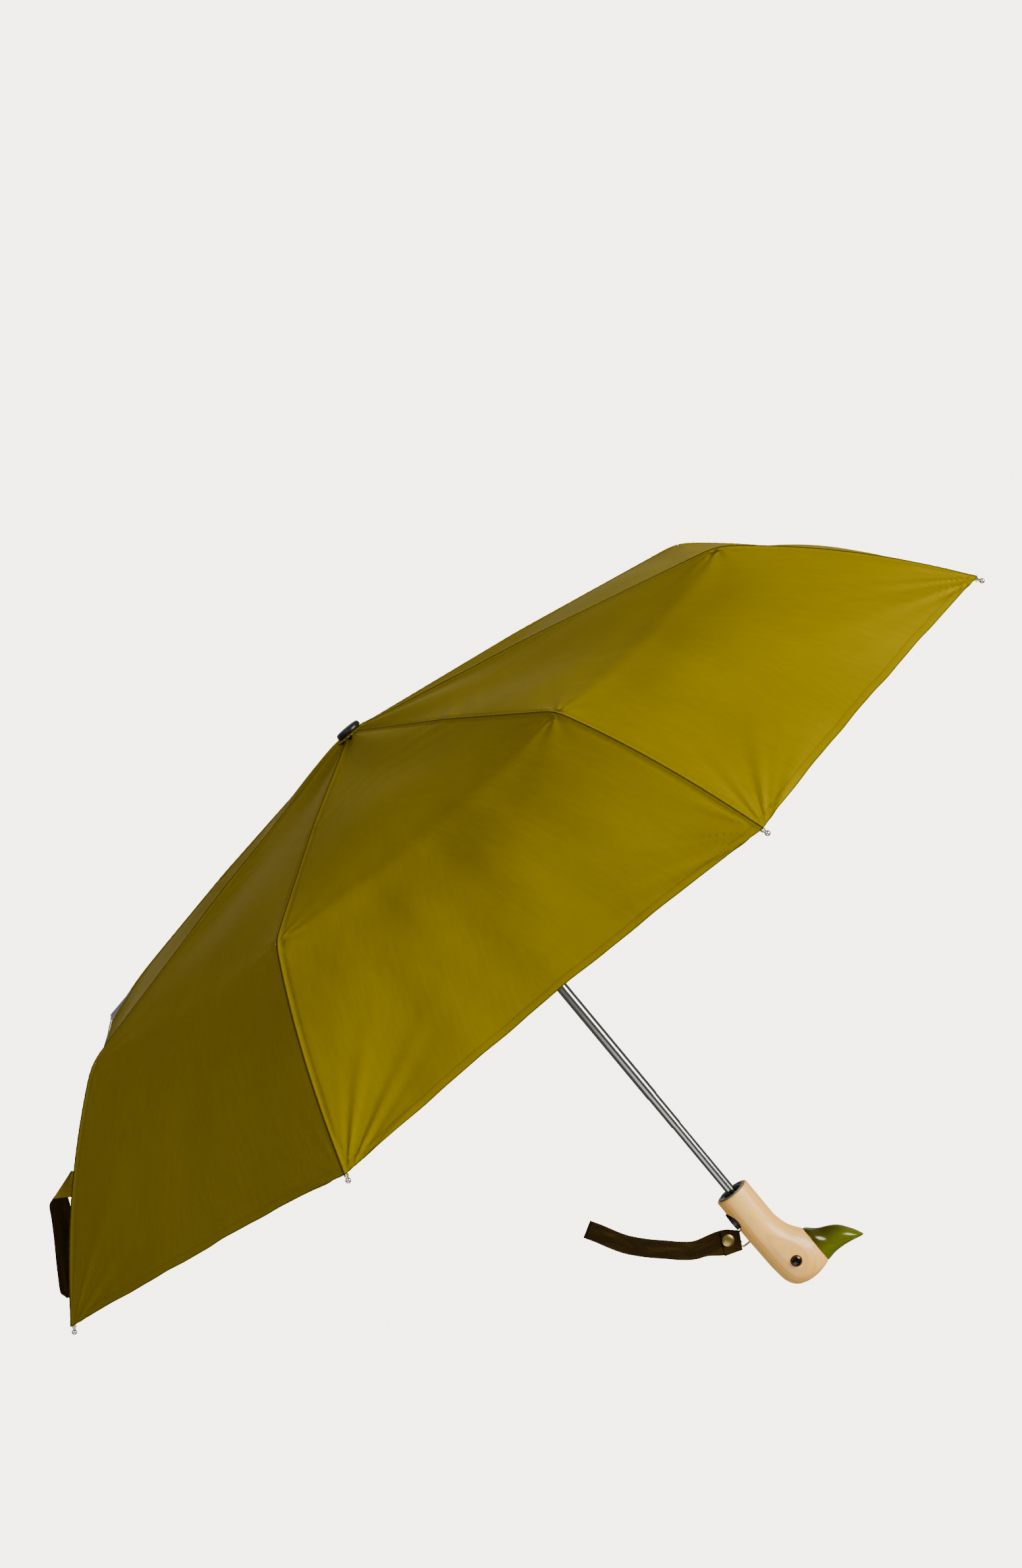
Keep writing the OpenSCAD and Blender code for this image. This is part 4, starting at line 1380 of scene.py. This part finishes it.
@dataclass(frozen=True)
class Studio:
    """The camera's place and the pale, soft-lit room."""

    azimuth: float = -0.24
    elevation: float = 6.12
    roll: float = -39.57
    distance: float = 2.6605
    lens: float = 76.0
    aim: tuple[float, float, float] = (0.0, 0.0, 0.414)
    aside: float = 0.0683
    above: float = 0.0321
    pale: Colour = (5.35, 5.15, 4.45)
    daylight: Colour = (0.27, 0.265, 0.255)
    wall: Colour = (0.50, 0.485, 0.43)
    lamp_tone: Colour = (1.0, 0.985, 0.96)
    floor_drop: float = 1.5

    def axes(self) -> tuple[Vector, Vector, Vector]:
        """Give the camera's right, up and backward directions."""
        a, e, r = (math.radians(v) for v in (self.azimuth, self.elevation, self.roll))
        back = Vector((math.sin(a) * math.cos(e), -math.cos(a) * math.cos(e), math.sin(e)))
        level = Vector((math.cos(a), math.sin(a), 0))
        rise = back.cross(level)
        return level * math.cos(r) + rise * math.sin(r), rise * math.cos(r) - level * math.sin(r), back

    def camera(self) -> None:
        """Place the camera."""
        right, up, back = self.axes()
        data = bpy.data.cameras.new("camera")
        data.lens, data.sensor_width = self.lens, 36.0
        data.clip_start, data.clip_end = 0.05, 60.0
        camera = bpy.data.objects.new("camera", data)
        bpy.context.scene.collection.objects.link(camera)
        place = Vector(self.aim) + back * self.distance + right * self.aside + up * self.above
        turn = Matrix((right, up, back)).transposed()
        camera.matrix_world = Matrix.Translation(place) @ turn.to_4x4()
        bpy.context.scene.camera = camera

    def lamp(self, name: str, aside: float, above: float, near: float, size: float, power: float) -> Node:
        """Place one square soft light by the camera's axes, looking at the middle of the object."""
        right, up, back = self.axes()
        data = bpy.data.lights.new(name, "AREA")
        data.shape, data.size, data.energy, data.color = "SQUARE", size, power, self.lamp_tone
        lamp = bpy.data.objects.new(name, data)
        bpy.context.scene.collection.objects.link(lamp)
        target = Vector(self.aim)
        lamp.location = target + right * aside + up * above + back * near
        lamp.visible_camera = False
        lamp.rotation_mode = "QUATERNION"
        lamp.rotation_quaternion = (target - lamp.location).to_track_quat("-Z", "Y")
        return lamp

    def room(self) -> None:
        """Make the pale world and a floor of the same tone."""
        world = bpy.data.worlds.new("pale_room")
        world.use_nodes = True
        tree = world.node_tree
        ground = tree.nodes["Background"]
        ray = tree.nodes.new("ShaderNodeLightPath")
        look = tree.nodes.new("ShaderNodeTexCoord")
        behind = tree.nodes.new("ShaderNodeVectorMath")
        behind.operation = "DOT_PRODUCT"
        behind.inputs[1].default_value = -self.axes()[2]
        tree.links.new(look.outputs["Generated"], behind.inputs[0])
        rise = tree.nodes.new("ShaderNodeMapRange")
        rise.inputs["From Min"].default_value, rise.inputs["From Max"].default_value = 0.45, 0.95
        tree.links.new(behind.outputs["Value"], rise.inputs["Value"])
        wall, tone = (tree.nodes.new("ShaderNodeMix") for _ in range(2))
        for mixed, share, a, b in ((wall, rise.outputs["Result"], self.daylight, self.wall),
                                   (tone, ray.outputs["Is Camera Ray"], None, self.pale)):
            mixed.data_type = "RGBA"
            tree.links.new(share, mixed.inputs[0])
            if a:
                mixed.inputs[6].default_value = (*a, 1.0)
            mixed.inputs[7].default_value = (*b, 1.0)
        tree.links.new(wall.outputs[2], tone.inputs[6])
        tree.links.new(tone.outputs[2], ground.inputs["Color"])
        bpy.context.scene.world = world
        deselect()
        bpy.ops.mesh.primitive_plane_add(size=40.0, location=(0, 0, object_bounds()[0].z - self.floor_drop))
        floor = settle(bpy.context.object, "floor")
        p = Paint("pale_floor")
        seen = p.node("ShaderNodeLightPath", output="Is Camera Ray")
        floor.data.materials.append(p.finish(
            Base_Color=(0.0, 0.0, 0.0), Roughness=1.0, Specular_IOR_Level=0.0,
            Emission_Color=p.mix(seen, self.daylight, self.pale), Emission_Strength=1.0))
        floor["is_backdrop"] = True

    def build(self) -> None:
        """Make the camera, the lights and the room."""
        self.camera()
        self.room()
        self.lamp("key", 1.68, 0.86, 1.46, 1.3, 130.0)
        self.lamp("fill", -1.5, 1.0, 1.9, 2.4, 37.0)
        self.lamp("under", 0.2, -2.0, 1.4, 2.0, 38.0)
        self.lamp("behind", -0.2, 0.5, -2.4, 2.0, 60.0).visible_glossy = False


def main() -> None:
    """Build the looks round the frame, piece by piece."""
    logging.basicConfig(level=logging.INFO, format="%(name)s: %(message)s")
    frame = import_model()
    shop = Workshop(frame)
    Studio().build()
    Canopy(shop).build()
    Handle(shop).build()
    Straps(shop).build()
    Crown(shop).build()
    Springs(shop).build()
    dress_frame(shop)


if __name__ == "__main__":
    main()
